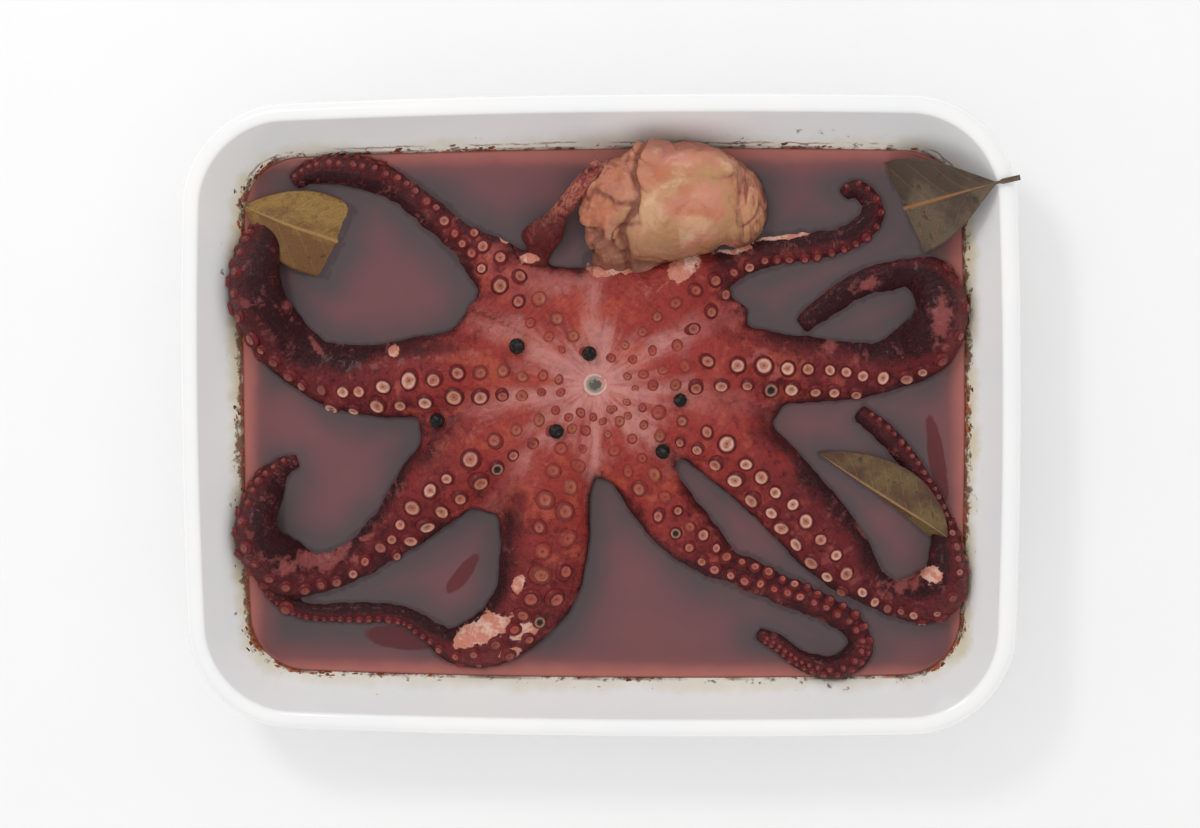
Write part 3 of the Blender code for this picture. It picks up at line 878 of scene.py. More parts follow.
def sucker_finish():
    hues = settings().suckers
    cup = Finish("sucker_cup")
    mottle = cup.grain(520, 4, 0.62)
    blotch = cup.grain(75, 3)
    ring = cup.attribute("ring") + (mottle - 0.5) * 0.22
    tone = cup.attribute("tone", "Vector")
    cream, share, chance = (cup.axis(i, tone) for i in range(3))
    burnt = cream.rise(1.5, 1.8)
    rim = cup.mix(cream.rise(0.05, 0.85), hues.young_rim, hues.rim)
    rim = cup.mix((blotch + (chance - 0.5) * 0.5).rise(0.42, 0.62) * 0.55, rim,
                  hues.yellow_rim)
    rim = cup.mix((share + (chance - 0.5) * 0.3).rise(0.45, 0.75) * 0.85, rim, hues.dusk_rim)
    rim = cup.mix(burnt * 0.7, rim, hues.burnt_rim)
    dish = cup.mix(0.55, rim, hues.dish)
    edge = 0.50 + 0.17 * cream.rise(0.1, 0.9)
    firm = (0.4 + cream.rise(0.05, 0.5) + share.rise(0.25, 0.5)).least(1)
    hue = cup.mix(ring.rise(0.30, 0.48), dish, rim)
    hue = cup.mix((1 - ring.rise(0.05, 0.24)) * 0.55, hue, hues.hole)
    # Painted shade: a dark ring just outside the rim, where the cup meets the skin.
    hue = cup.mix((ring - edge).rise(-0.08, 0.14) * firm, hue, hues.skirt)
    hue = cup.mix((ring - edge).rise(0.16, 0.36) * 0.85, hue,
                  cup.mix(firm, hues.young_foot, hues.foot))
    hue = cup.mix((1 - mottle.rise(0.32, 0.52)) * 0.4, hue, hues.skirt)
    hue = cup.mix(burnt * (1 - ring.rise(0.34, 0.56)), hue, hues.burnt)
    return cup.paint(Base_Color=hue, Roughness=0.3 + 0.2 * mottle,
                     Normal=cup.bump(mottle, 0.5 * MM), Specular_IOR_Level=0.35,
                     Coat_Weight=0.15, Coat_Roughness=0.15)


# --- Mantle ----------------------------------------------------------------------------------------
def lump_mesh(centre, half_sizes):
    bm = bmesh.new()
    bmesh.ops.create_icosphere(bm, subdivisions=5, radius=MM)
    bmesh.ops.scale(bm, verts=bm.verts, vec=half_sizes)
    bmesh.ops.translate(bm, verts=bm.verts, vec=Vector(centre) * MM)
    mesh = bpy.data.meshes.new("lump")
    bm.to_mesh(mesh)
    bm.free()
    return mesh


def build_mantle_skin():
    lumps = [lump_mesh(centre, half_sizes) for centre, half_sizes in MANTLE_LUMPS]
    mesh = one_skin("octopus_mantle", lumps, settings().mantle.voxel, 5)
    places = coordinates(mesh)
    bent = places + 3 * MM * np.column_stack([relief(places, 12 * MM, k) for k in (1, 2, 3)])
    crumple = 1 - np.abs(relief(bent, 13 * MM, 2.0)) * 3.2
    fine = 1 - np.abs(relief(bent, 5.5 * MM, 4.0)) * 3.2
    creases = np.clip(crumple, 0, 1) ** 3 * 1.5 + np.clip(fine, 0, 1) ** 3 * 0.6
    calm = np.clip((places[:, 0] - 8 * MM) / (14 * MM), 0, 1)
    calm *= np.clip((60 * MM - places[:, 0]) / (12 * MM), 0, 1)
    seam = np.exp(-((places[:, 0] - 14 * MM - 0.15 * (places[:, 1] - 80 * MM)
                     - 1.5 * MM * np.sin(places[:, 1] / (4 * MM))) / (1.4 * MM)) ** 2)
    creases = creases * (1 - 0.6 * calm) + 1.8 * seam
    swell = relief(places, 16 * MM, 6.0) * 1.6 + relief(places, 3 * MM, 8.0) * 0.25
    places = places + normals(mesh) * ((swell - creases) * MM)[:, None]
    # The mantle leans on the wall: nothing passes the wall's inner face.
    for i, (x, y, z) in enumerate(places):
        wall = TIN_HALF_WIDTH - inset_at(max(z, 1.5 * MM)) - 0.4 * MM
        places[i, 1] = min(y, bowed(x, wall, TIN_HALF_LENGTH, wall)[1])
    move_points(mesh, places)
    # The creases shape the skin, and the material also darkens them as painted shade.
    store(mesh, "crease", creases)
    for name, patches in (("butter", BUTTER), ("flush", FLUSH), ("amber", AMBER)):
        store(mesh, name, patch_field(places, patches))
    return mesh


def mantle_finish():
    hues = settings().mantle
    skin = Finish("mantle_skin")
    blotch = skin.grain(42, 3, 0.5)
    patch = skin.grain(95, 3, 0.55)
    mottle = skin.grain(330, 4, 0.62)
    bands = skin.grain(60, 3, 0.6, skin.stretch(skin.place, (5.0, 0.7, 1.0)))
    crease = skin.attribute("crease")
    height, depth, along = skin.axis(2), skin.axis(1), skin.axis(0)
    hue = skin.mix((blotch + (depth - 0.082) * 6).rise(0.40, 0.6), hues.green, hues.peach)
    hue = skin.mix(patch.rise(0.5, 0.66) * 0.6, hue, hues.pink)
    hue = skin.mix((blotch + (mottle - 0.5) * 0.3).rise(0.54, 0.66) * 0.6, hue, hues.orange)
    cream = skin.grain(55, 3, 0.55, skin.stretch(skin.place, (1.0, 1.4, 1.0)), 0.5)
    hue = skin.mix((cream + (mottle - 0.5) * 0.2).rise(0.54, 0.66) * 0.75, hue, hues.cream)
    veins = abs(patch - 0.5 + (mottle - 0.5) * 0.25)
    hue = skin.mix((1 - veins.rise(0.0, 0.03)) * 0.1, hue, hues.brown)
    for name, patch_hue in (("flush", hues.flush), ("amber", hues.orange),
                            ("butter", hues.cream)):
        field = skin.attribute(name) + (patch - 0.5) * 1.6 + (mottle - 0.5) * 0.5
        hue = skin.mix(field.rise(0.0, 0.7) * 0.6, hue, patch_hue)
    # Painted shade: the mantle darkens to brown in its creases and along the seam.
    hue = skin.mix((crease + (mottle - 0.5) * 1.2).rise(0.35, 1.7) * 0.8, hue, hues.brown)
    left = 1 - (along + (patch - 0.5) * 0.02).rise(0.002, 0.020)
    hue = skin.mix(left * (mottle * 0.4 + patch).rise(0.5, 0.9) * 0.6, hue, hues.brown)
    right = (along + (patch - 0.5) * 0.01).rise(0.050, 0.058)
    hue = skin.mix(right * bands.rise(0.48, 0.6) * 0.85, hue, hues.brown)
    skirt = 1 - (height + (patch - 0.5) * 0.014).rise(0.0195, 0.030)
    hue = skin.mix(skirt * 0.8, hue, hues.shade)
    # Painted shade: the front of the mantle, where it sits down on the web, darkens to brown.
    front = 1 - (depth + (patch - 0.5) * 0.016).rise(0.060, 0.076)
    hue = skin.mix(front * 0.55, hue, hues.brown)
    top = (depth + (patch - 0.5) * 0.012).rise(0.098, 0.105)
    hue = skin.mix(top * 0.6, hue, hues.brown)
    hue = skin.mix((1 - mottle.rise(0.34, 0.48)) * 0.35, hue, hues.pink)
    return skin.paint(Base_Color=hue, Roughness=0.32 + 0.2 * mottle,
                      Normal=skin.bump(mottle * 0.6 + patch * 0.8, 1.0 * MM),
                      Specular_IOR_Level=0.4, Coat_Weight=0.15, Coat_Roughness=0.18)


# --- Mouth -----------------------------------------------------------------------------------------
def mouth_mesh(centre, facing, radius):
    """A soft lip round a shallow grey disc, with the tip of the beak off centre."""
    profile = ((1.25, -0.25), (1.2, 0.02), (1.05, 0.16), (0.92, 0.14), (0.84, 0.03),
               (0.7, 0.05), (0.5, 0.10), (0.25, 0.13), (0.08, 0.14))
    segments = 40
    rings = []
    for reach, height in profile:
        ring = []
        for k in range(segments):
            angle = 2 * math.pi * k / segments
            wave = 1 + 0.05 * math.sin(3 * angle + 1) + 0.03 * math.sin(9 * angle)
            ring.append((reach * wave * radius * math.cos(angle),
                         0.92 * reach * wave * radius * math.sin(angle), height * radius))
        rings.append(ring)
    mesh = loft("octopus_mouth", rings)
    places = coordinates(mesh)
    store(mesh, "ring", np.hypot(places[:, 0], places[:, 1] / 0.92) / radius)
    turn = Vector((0, 0, 1)).rotation_difference(facing).to_matrix().to_4x4()
    mesh.transform(Matrix.Translation(centre) @ turn)
    return mesh


def mouth_finish():
    hues = settings().octopus
    lip = Finish("mouth")
    ring = lip.attribute("ring")
    cloud = lip.grain(320, 3, 0.6)
    hue = lip.mix(ring.rise(0.78, 0.95), hues.beak, hues.lip)
    hue = lip.mix((1 - ring.rise(0.45, 0.8)) * cloud.rise(0.42, 0.55), hue, hues.beak_tip)
    hue = lip.mix(ring.rise(1.05, 1.2), hue, hues.pale)
    return lip.paint(Base_Color=hue, Roughness=0.4 + 0.2 * cloud,
                     Normal=lip.bump(cloud, 0.3 * MM))


# --- Broth -----------------------------------------------------------------------------------------
def rounded_square(u, v, half_x, half_y, radius):
    """Map the square from -1 to 1 onto a rectangle whose corners are round."""
    reach = np.maximum(np.maximum(np.abs(u), np.abs(v)), 1e-9)
    edge_x, edge_y = u / reach * half_x, v / reach * half_y
    past_x = np.abs(edge_x) - (half_x - radius)
    past_y = np.abs(edge_y) - (half_y - radius)
    corner = (past_x > 0) & (past_y > 0)
    length = np.hypot(past_x, past_y)
    shrink = np.where(corner, radius / np.maximum(length, 1e-9), 1)
    edge_x = np.where(corner, np.sign(edge_x) * (half_x - radius + past_x * shrink), edge_x)
    edge_y = np.where(corner, np.sign(edge_y) * (half_y - radius + past_y * shrink), edge_y)
    blend = reach ** 5
    return ((1 - blend) * u * half_x + blend * edge_x * reach,
            (1 - blend) * v * half_y + blend * edge_y * reach)


def waterline(meshes):
    """A tree of the points where the given meshes pass the broth's level."""
    near = [places[np.abs(places[:, 2] - LEVEL) < 0.7 * MM]
            for places in (coordinates(mesh) for mesh in meshes)]
    points = np.vstack(near)
    tree = KDTree(len(points))
    for i, point in enumerate(points):
        tree.insert((point[0], point[1], 0), i)
    tree.balance()
    return tree


def build_broth_mesh(wet_meshes):
    """Broth to its level, with a fine surface that climbs a little where it wets things."""
    pool = settings().broth
    half_x = TIN_HALF_LENGTH - inset_at(LEVEL)
    half_y = TIN_HALF_WIDTH - inset_at(LEVEL)
    radius = corner_radius(inset_at(LEVEL))
    columns = round(2 * half_x / pool.cell)
    rows = round(2 * half_y / pool.cell)
    u, v = np.meshgrid(np.linspace(-1, 1, columns + 1), np.linspace(-1, 1, rows + 1))
    x, y = rounded_square(u.ravel(), v.ravel(), half_x, half_y, radius)
    x, y = bowed(x, y, half_x, half_y)
    tree = waterline(wet_meshes)
    near = np.array([tree.find((px, py, 0))[2] for px, py in zip(x, y)])
    reach = np.maximum(np.abs(u), np.abs(v)).ravel()
    wall = np.minimum(half_x - np.abs(x), half_y - np.abs(y))
    wall = np.where(reach > 0.999, 0, np.maximum(wall, 0))
    z = LEVEL + pool.climb * np.exp(-near / (1.2 * MM)) + pool.climb * np.exp(-wall / (1.2 * MM))
    top = [tuple(point) for point in np.column_stack([x, y, z])]

    wide = columns + 1
    border = ([i for i in range(columns)] + [columns + wide * j for j in range(rows)]
              + [rows * wide + columns - i for i in range(columns)]
              + [wide * (rows - j) for j in range(rows)])
    points = list(top)
    faces = [(j * wide + i, j * wide + i + 1, (j + 1) * wide + i + 1, (j + 1) * wide + i)
             for j in range(rows) for i in range(columns)]
    loop = border
    level_inset = inset_at(LEVEL)
    for height in (13 * MM, 7 * MM, 3.5 * MM, 1.6 * MM):
        extra = inset_at(height) + 0.4 * MM - level_inset
        following = []
        for index in border:
            px, py, _ = top[index]
            following.append(len(points))
            points.append((px * (1 - extra / half_x), py * (1 - extra / half_y), height))
        for a, b in zip(range(len(loop)), [*range(1, len(loop)), 0]):
            faces.append((loop[a], following[a], following[b], loop[b]))
        loop = following
    points.append((0, 0, 1.6 * MM))
    faces += [(loop[(a + 1) % len(loop)], loop[a], len(points) - 1) for a in range(len(loop))]
    mesh = plain_mesh("broth", points, faces)
    face_outwards(mesh)
    extra_points = len(points) - len(top)
    store(mesh, "near", np.concatenate([near, np.full(extra_points, 0.05)]))
    store(mesh, "wall", np.concatenate([wall, np.zeros(extra_points)]))
    sunk = patch_field(np.column_stack([x, y]), SUNK)
    store(mesh, "sunk", np.concatenate([sunk, np.full(extra_points, -1.0)]))
    return mesh


def broth_finish():
    hues = settings().broth
    pool = Finish("broth")
    near, wall = pool.attribute("near"), pool.attribute("wall")
    cloud = pool.grain(22, 3, 0.5)
    fine = pool.grain(130, 3, 0.55)
    # Painted shade and reflection: the broth turns grey within about 16 mm of the arms, mantle and
    # leaves that stand in it.
    hue = pool.mix((near + (cloud - 0.5) * 0.020).rise(0.0, 0.016), hues.grey, hues.mauve)
    hue = pool.mix((cloud + (near - 0.015) * 6).rise(0.45, 0.75) * 0.35, hue, hues.shallow)
    edge = 1 - (wall + (cloud - 0.5) * 0.012).rise(0.0005, 0.013)
    hue = pool.mix(edge * 0.8, hue, hues.shallow)
    edge = 1 - (wall + (fine - 0.5) * 0.002 + (cloud - 0.5) * 0.003).rise(0.0004, 0.0075)
    hue = pool.mix(edge * 0.95, hue, hues.salmon)
    sunk = (pool.attribute("sunk") + (fine - 0.5) * 0.5 + (cloud - 0.5) * 1.4).rise(0.0, 0.2)
    hue = pool.mix(sunk * 0.65, hue, hues.sunk)
    # Painted shade: a dark line in the last millimetre of broth round everything it wets.
    hue = pool.mix((1 - (near + (fine - 0.5) * 0.001).rise(0.0002, 0.0012)) * 0.4, hue,
                   hues.brim_shade)
    return pool.paint(Base_Color=hue, Roughness=0.09,
                      Normal=pool.bump(cloud * 0.6 + fine * 0.08, 0.5 * MM))


# --- Tin -------------------------------------------------------------------------------------------
def build_tin_mesh():
    sheet = settings().tin.sheet
    outer = [point for point in wall_line(sheet) if point[0] > 5.4 * MM][1:]
    profile = list(reversed(outer))
    profile += [np.array(point) * MM for point in reversed(ROLLED_RIM)]
    profile += wall_line(0)
    rings = [outline(inset, height) for inset, height in profile]
    mesh = loft("tin", rings)
    inner = np.arange(len(rings)) >= len(rings) - len(INNER_WALL)
    store(mesh, "inner", [*np.repeat(inner, len(rings[0])), 0, 1])
    return mesh


def enamel_finish():
    hues = settings().tin
    glaze = Finish("enamel")
    x, y, z = glaze.axis(0), glaze.axis(1), glaze.axis(2)
    cloud = glaze.grain(30, 3, 0.5)
    fleck = glaze.grain(420, 4, 0.65)
    crust = glaze.grain(240, 5, 0.7)
    run = glaze.grain(70, 4, 0.6, glaze.stretch(glaze.place, (1.0, 1.0, 0.25)))
    left = 1 - x.rise(-0.150, -0.125)
    right = x.rise(0.130, 0.143)
    front = 1 - y.rise(-0.108, -0.098)
    corner = (left + right).least(1) * front
    dirt = (0.45 + 0.6 * left + 0.4 * right + 0.6 * corner).least(1.3)
    above = z - LEVEL
    inner = glaze.attribute("inner")
    inside = (1 - above.rise(0.010, 0.0125)) * inner.rise(0.9, 1.0)
    stain = inside * (1 - (above + (run - 0.5) * 0.014).rise(0.001, 0.0095)) * dirt
    brown = (1 - (above + (cloud - 0.5) * 0.010).rise(0.0003, 0.006)) * dirt
    brown = (brown * 0.85 + (crust - 0.5) * 2.4 + (cloud - 0.5)).rise(0.42, 0.72) * inside
    tide = abs(above - 0.0034 + (cloud - 0.5) * 0.004 + (crust - 0.5) * 0.002)
    tide = (1 - tide.rise(0.0, 0.0007)) * y.rise(0.086, 0.094) * run.rise(0.42, 0.56)
    line = (1 - abs(above - 0.0006).rise(0.0002, 0.0014)) * run.rise(0.35, 0.6) * inside
    hue = glaze.mix(cloud.rise(0.3, 0.7) * 0.5, hues.white, hues.cool_white)
    hue = glaze.mix(stain * 0.85, hue, hues.stain)
    hue = glaze.mix(line * 0.75, hue, hues.residue)
    hue = glaze.mix(brown * 0.9, hue, hues.residue)
    hue = glaze.mix(tide * inside * 0.7, hue, hues.residue)
    chips = fleck.rise(0.765, 0.78) * z.rise(0.043, 0.044)
    hue = glaze.mix(chips * 0.9, hue, hues.chip)
    return glaze.paint(Base_Color=hue, Roughness=0.13 + 0.4 * brown + 0.12 * stain,
                       Normal=glaze.bump(brown * 1.0 + cloud * 0.25, 0.5 * MM),
                       Coat_Weight=0.3, Coat_Roughness=0.06)


def flake_mesh():
    """A crumb of burnt broth, ragged and flat."""
    bm = bmesh.new()
    bmesh.ops.create_icosphere(bm, subdivisions=2, radius=1)
    for vert in bm.verts:
        vert.co *= 1 + 0.6 * noise.noise(vert.co * 1.7)
        vert.co.x *= 2.2
        vert.co.z *= 0.3
    mesh = bpy.data.meshes.new("flake")
    bm.to_mesh(mesh)
    bm.free()
    return mesh


def wall_place(turn, height):
    """A point on the wall's inner face, where it faces and where the wall runs on to."""
    ring = outline(inset_at(height), height)
    above = outline(inset_at(height + MM), height + MM)
    i = int(turn * len(ring)) % len(ring)
    j = (i + 1) % len(ring)
    share = turn * len(ring) % 1
    place = Vector(ring[i]).lerp(Vector(ring[j]), share)
    along = (Vector(ring[j]) - Vector(ring[i])).normalized()
    up = (Vector(above[i]) - Vector(ring[i])).normalized()
    facing = along.cross(up)
    if facing.dot(Vector((-place.x, -place.y, 0.1))) < 0:
        facing = -facing
    return place, facing.normalized(), along


# Where the broth boiled over: (x from, x to, y from, y to, share of crumbs kept). The last
# zone that holds a place counts, and elsewhere the crumbs are thin.
CRUMB_ZONES = ((-200, -125, -200, 200, 0.5), (-200, -100, -200, -70, 1.0),
               (125, 200, -200, 20, 0.5), (-80, -30, 90, 200, 0.8))
THIN_CRUMBS = 0.12


def flake_points():
    """Crumbs on the wall along the broth's edge, thick where the broth boiled over it."""
    dirt = settings().residue
    chance = random.Random(dirt.seed)
    points = []
    while len(points) < dirt.count:
        height = LEVEL + min(chance.expovariate(1 / 0.8), 6.0) * MM + 0.1 * MM
        place, facing, ahead = wall_place(chance.random(), height)
        weight = THIN_CRUMBS
        for west, east, south, north, share in CRUMB_ZONES:
            if west * MM < place.x < east * MM and south * MM < place.y < north * MM:
                weight = share
        cluster = 0.5 + 1.4 * noise.noise(place / (7 * MM))
        if chance.random() < weight * max(cluster, 0.0) ** 2:
            points.append({"place": place, "facing": facing, "ahead": ahead,
                           "size": chance.choice((0.15, 0.2, 0.3, 0.4, 0.6)) * MM,
                           "tone": (chance.random(), 0, 0)})
    return points


def flake_finish():
    hues = settings().residue
    crumb = Finish("burnt_residue")
    tone = crumb.axis(0, crumb.attribute("tone", "Vector"))
    grit = crumb.grain(900, 3)
    hue = crumb.mix(tone.rise(0.2, 0.9), hues.dark, hues.rust)
    return crumb.paint(Base_Color=hue, Roughness=0.55, Normal=crumb.bump(grit, 0.2 * MM))


# --- Bay leaves --------------------------------------------------------------------------------
# Midribs from stalk to tip in millimetres; the blade's left and right halves roll about it.
LEAVES = {
    "bay_leaf_left": {
        "midrib": ((-139, 82, 22), (-122, 75, 24.5), (-105, 69, 20.6), (-88, 62, 14),
                   (-73, 56, 10)),
        "half_width": 16, "rolls": (0.0, 0.0), "stalk": 0.0, "peak": 0.42, "taper": 0.75,
        "hues": ((152, 116, 56), (120, 80, 40), (172, 128, 76))},
    "bay_leaf_right": {
        "midrib": ((159, 89, 47), (150, 87, 46.2), (134, 83, 35), (118, 79, 20),
                   (110, 77, 10), (103, 76, 5.5)),
        "half_width": 19, "rolls": (0.12, 0.12), "stalk": 0.14, "peak": 0.68, "taper": 1.2,
        "hues": ((112, 94, 76), (84, 69, 57), (166, 112, 68))},
    "bay_leaf_front": {
        "midrib": ((134, -47, 26), (125, -41, 24), (112, -33, 21.5), (98, -24, 20.2),
                   (85, -15, 20.3)),
        "half_width": 14, "rolls": (0.9, 0.17), "stalk": 0.0, "peak": 0.42, "taper": 0.75,
        "hues": ((116, 92, 54), (92, 60, 46), (170, 126, 84))},
}


def leaf_half_width(share, spec):
    if share < spec["stalk"]:
        return 1 * MM
    blade = (share - spec["stalk"]) / (1 - spec["stalk"])
    peak = spec["peak"]
    swell = blade / peak if blade < peak else 1 + (blade - peak) / (1 - peak)
    wide = max(0, math.sin(math.pi / 2 * swell)) ** spec["taper"]
    return max(0.5, spec["half_width"] * wide) * MM


def build_leaf_mesh(name, spec):
    """A thin blade with a raised midrib, sunk side veins and a wavy edge."""
    leaf = settings().leaves
    path = smooth_path(spec["midrib"], 1.0) * MM
    ahead = np.gradient(path, axis=0)
    ahead /= np.linalg.norm(ahead, axis=1)[:, None]
    side = np.cross(ahead, (0, 0, 1))
    side /= np.linalg.norm(side, axis=1)[:, None]
    lift = np.cross(side, ahead)
    half_count = 14
    shares = np.linspace(-1, 1, 2 * half_count + 1)
    rings, flat = [], []
    for i, place in enumerate(path):
        run = i / (len(path) - 1)
        half = leaf_half_width(run, spec)
        upper, lower, upper_uv, lower_uv = [], [], [], []
        for share in shares:
            roll = spec["rolls"][0] if share < 0 else spec["rolls"][1]
            across = math.cos(roll) * side[i] + math.sin(roll) * lift[i]
            wave = 0.5 * MM * share * share * math.sin(run * 17 + 3 * share)
            vein = (run * 8 - abs(share) * 1.6) % 1
            sunk = 0.18 * MM * math.exp(-((vein - 0.5) / 0.12) ** 2) * min(1, half / (8 * MM))
            rib = leaf.rib * math.exp(-(share * half / (0.7 * MM)) ** 2)
            rib *= min(1, half / (5 * MM))
            centre = place + share * half * across + lift[i] * wave
            thick = leaf.thickness / 2 * (1 - 0.7 * share ** 4)
            upper.append(tuple(centre + lift[i] * (thick + rib - sunk)))
            lower.append(tuple(centre - lift[i] * thick))
            upper_uv.append((share, run))
            lower_uv.append((share, run))
        rings.append(upper + lower[::-1])
        flat += upper_uv + lower_uv[::-1]
    mesh = loft(name, rings)
    flat += [(0, 0), (0, 1)]
    store(mesh, "blade", [(share, run, 0) for share, run in flat])
    return mesh


def leaf_finish(name, hues):
    light, dark, vein_hue = (tint(*hue) for hue in hues)
    leaf = Finish(name)
    blade = leaf.attribute("blade", "Vector")
    across, along = leaf.axis(0, blade), leaf.axis(1, blade)
    blotch = leaf.grain(70, 3, 0.55)
    mottle = leaf.grain(420, 4, 0.65)
    aside = abs(across)
    branch = abs((along * 8 - aside * 1.6 + (mottle - 0.5) * 0.12).fraction() - 0.5)
    branch = (1 - branch.rise(0.0, 0.10)) * (1 - aside.rise(0.75, 0.98))
    net = leaf.node("ShaderNodeTexVoronoi", {"feature": "DISTANCE_TO_EDGE"},
                    {"Vector": leaf.place, "Scale": 750.0}, output="Distance")
    net = 1 - net.rise(0.0, 0.08)
    rib = 1 - aside.rise(0.015, 0.06)
    hue = leaf.mix((blotch + (across * 0.12)).rise(0.38, 0.62), light, dark)
    hue = leaf.mix(branch * 0.2, hue, vein_hue)
    hue = leaf.mix(net * 0.2, hue, dark)
    hue = leaf.mix((1 - mottle.rise(0.34, 0.48)) * 0.6, hue, dark)
    spots = leaf.grain(260, 2, 0.5).rise(0.66, 0.7)
    hue = leaf.mix(spots * 0.5, hue, tuple(0.35 * part for part in dark))
    hue = leaf.mix(aside.rise(0.93, 1.0) * 0.6, hue, dark)
    hue = leaf.mix(rib * 0.85, hue, vein_hue)
    return leaf.paint(Base_Color=hue, Roughness=0.38 + 0.2 * mottle,
                      Normal=leaf.bump(branch * -0.5 + net * 0.3 + mottle * 0.3, 0.3 * MM))


# --- Peppercorns -------------------------------------------------------------------------------
def peppercorn_mesh():
    """A sphere one unit in radius, shrunk into ridges and hollows."""
    bm = bmesh.new()
    bmesh.ops.create_icosphere(bm, subdivisions=5, radius=1)
    for vert in bm.verts:
        ridge = 1 - abs(noise.noise(vert.co * 2.3 + Vector((4, 1, 7))) * 2)
        vert.co *= 0.93 + 0.09 * (ridge - 0.5) + 0.03 * noise.noise(vert.co * 7)
    mesh = bpy.data.meshes.new("peppercorn")
    bm.to_mesh(mesh)
    bm.free()
    return mesh


def peppercorn_nodes():
    return sorted(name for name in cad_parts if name.startswith("peppercorn"))


def peppercorn_points(skin):
    points = []
    chance = random.Random(settings().peppercorns.seed)
    for name in peppercorn_nodes():
        low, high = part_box(name)
        radius = (high.z - low.z) / 2
        centre = (low + high) / 2
        hit, _, _, _ = skin.ray_cast(Vector((centre.x, centre.y, TIN_HEIGHT)),
                                     Vector((0, 0, -1)))
        centre.z = min(centre.z, hit.z + radius * 0.72)
        facing = Vector([chance.uniform(-1, 1) for _ in range(3)]).normalized()
        points.append({"place": centre, "facing": facing, "size": radius,
                       "tone": (chance.random(), 0, 0)})
    return points


def peppercorn_finish():
    hues = settings().peppercorns
    corn = Finish("peppercorn")
    dust = corn.grain(700, 4, 0.65)
    blotch = corn.grain(300, 2)
    hue = corn.mix(dust.rise(0.45, 0.72), hues.black, hues.dust)
    hue = corn.mix(blotch.rise(0.55, 0.7) * 0.4, hue, hues.brown)
    return corn.paint(Base_Color=hue, Roughness=0.45 + 0.2 * dust,
                      Normal=corn.bump(dust, 0.25 * MM))


# --- Settings ------------------------------------------------------------------------------------
def colour(name, red, green, blue, words):
    return FloatVectorProperty(name=name, description=words, subtype="COLOR", size=3,
                               min=0, max=1, default=tint(red, green, blue))


def length(name, value, words):
    return FloatProperty(name=name, description=words, default=value * MM, unit="LENGTH",
                         precision=5)


class TinSettings(bpy.types.PropertyGroup):
    sheet: length("Sheet", 1.2, "Thickness of the enamelled steel")
    side_bow: length("Side bow", 3, "How far each side bulges between its corners")
    rim_corner: length("Rim corner", 38, "Corner radius along the rim")
    floor_corner: length("Floor corner", 12, "Smallest corner radius, at the floor")
    white: colour("White", 248, 247, 245, "Clean enamel")
    cool_white: colour("Cool white", 241, 242, 246, "Enamel in its cooler clouds")
    stain: colour("Stain", 214, 196, 150, "Dried broth on the wall")
    residue: colour("Residue", 124, 68, 44, "Burnt broth")
    chip: colour("Chip", 60, 50, 48, "Steel in a chip of the rim")


class ResidueSettings(bpy.types.PropertyGroup):
    count: IntProperty(name="Crumbs", description="Burnt crumbs on the wall", default=900)
    seed: IntProperty(name="Seed", description="Where the crumbs lie", default=11)
    dark: colour("Dark", 118, 58, 36, "Darkest crumbs")
    rust: colour("Rust", 176, 98, 54, "Lightest crumbs")


class OctopusSettings(bpy.types.PropertyGroup):
    voxel: length("Voxel", 1.2, "Size of the skin's cells")
    flatness: FloatProperty(name="Flatness", description="An arm's height over its width",
                            default=0.8)
    float_rise: length("Float", 2, "How far thin arms stand out of the broth")
    film: length("Film", 1.8, "Broth kept under every arm")
    web_rise: length("Web rise", 7, "Height of the web above the broth")
    pale: colour("Pale", 202, 134, 126, "Skin at the mouth")
    web_pink: colour("Web pink", 168, 84, 80, "Web between the arms")
    red: colour("Red", 154, 48, 42, "Inner arms")
    orange: colour("Orange", 178, 74, 52, "Mottling of the skin")
    crimson: colour("Crimson", 108, 27, 33, "Outer arms")
    # Maroon also paints the shade low on the arms, just above the broth.
    maroon: colour("Maroon", 52, 14, 21, "Backs and tips of the arms")
    peeled: colour("Peeled", 222, 178, 160, "Flesh where the skin has peeled")
    raw: colour("Raw", 204, 128, 108, "Orange flesh where the skin has peeled")
    lip: colour("Lip", 206, 168, 156, "Lip round the mouth")
    beak: colour("Beak", 150, 138, 124, "Flesh inside the lip")
    beak_tip: colour("Beak tip", 92, 84, 76, "Beak")


class SuckerSettings(bpy.types.PropertyGroup):
    per_width: FloatProperty(name="Size for arm", default=0.38,
                             description="Sucker width for each unit of the arm's half width")
    per_reach: FloatProperty(name="Size for reach", default=0.085,
                             description="Sucker width for each unit away from the mouth")
    spacing: FloatProperty(name="Spacing", default=1.24,
                           description="Distance between suckers over their width")
    unevenness: FloatProperty(name="Unevenness", default=0.14,
                              description="How far suckers are from round")
    seed: IntProperty(name="Seed", description="Chance in size and place", default=5)
    rim: colour("Rim", 208, 156, 136, "Rims of grown suckers")
    burnt_rim: colour("Burnt rim", 118, 88, 66, "Rims of the dark cups")
    dusk_rim: colour("Dusk rim", 116, 56, 58, "Rims towards the tips")
    foot: colour("Foot", 120, 34, 36, "Where a sucker joins the skin")
    young_foot: colour("Young foot", 158, 62, 54, "The same near the mouth")
    yellow_rim: colour("Yellow rim", 178, 112, 80, "Rims stained by the broth")
    young_rim: colour("Young rim", 172, 72, 56, "Rims of suckers near the mouth")
    dish: colour("Dish", 150, 68, 56, "Inside the rims")
    hole: colour("Hole", 128, 56, 50, "Hole in the middle")
    # Skirt paints the shade round each sucker's foot, and also its dark mottling.
    skirt: colour("Skirt", 92, 22, 28, "Foot of each sucker")
    burnt: colour("Burnt", 50, 36, 34, "Dark cups")


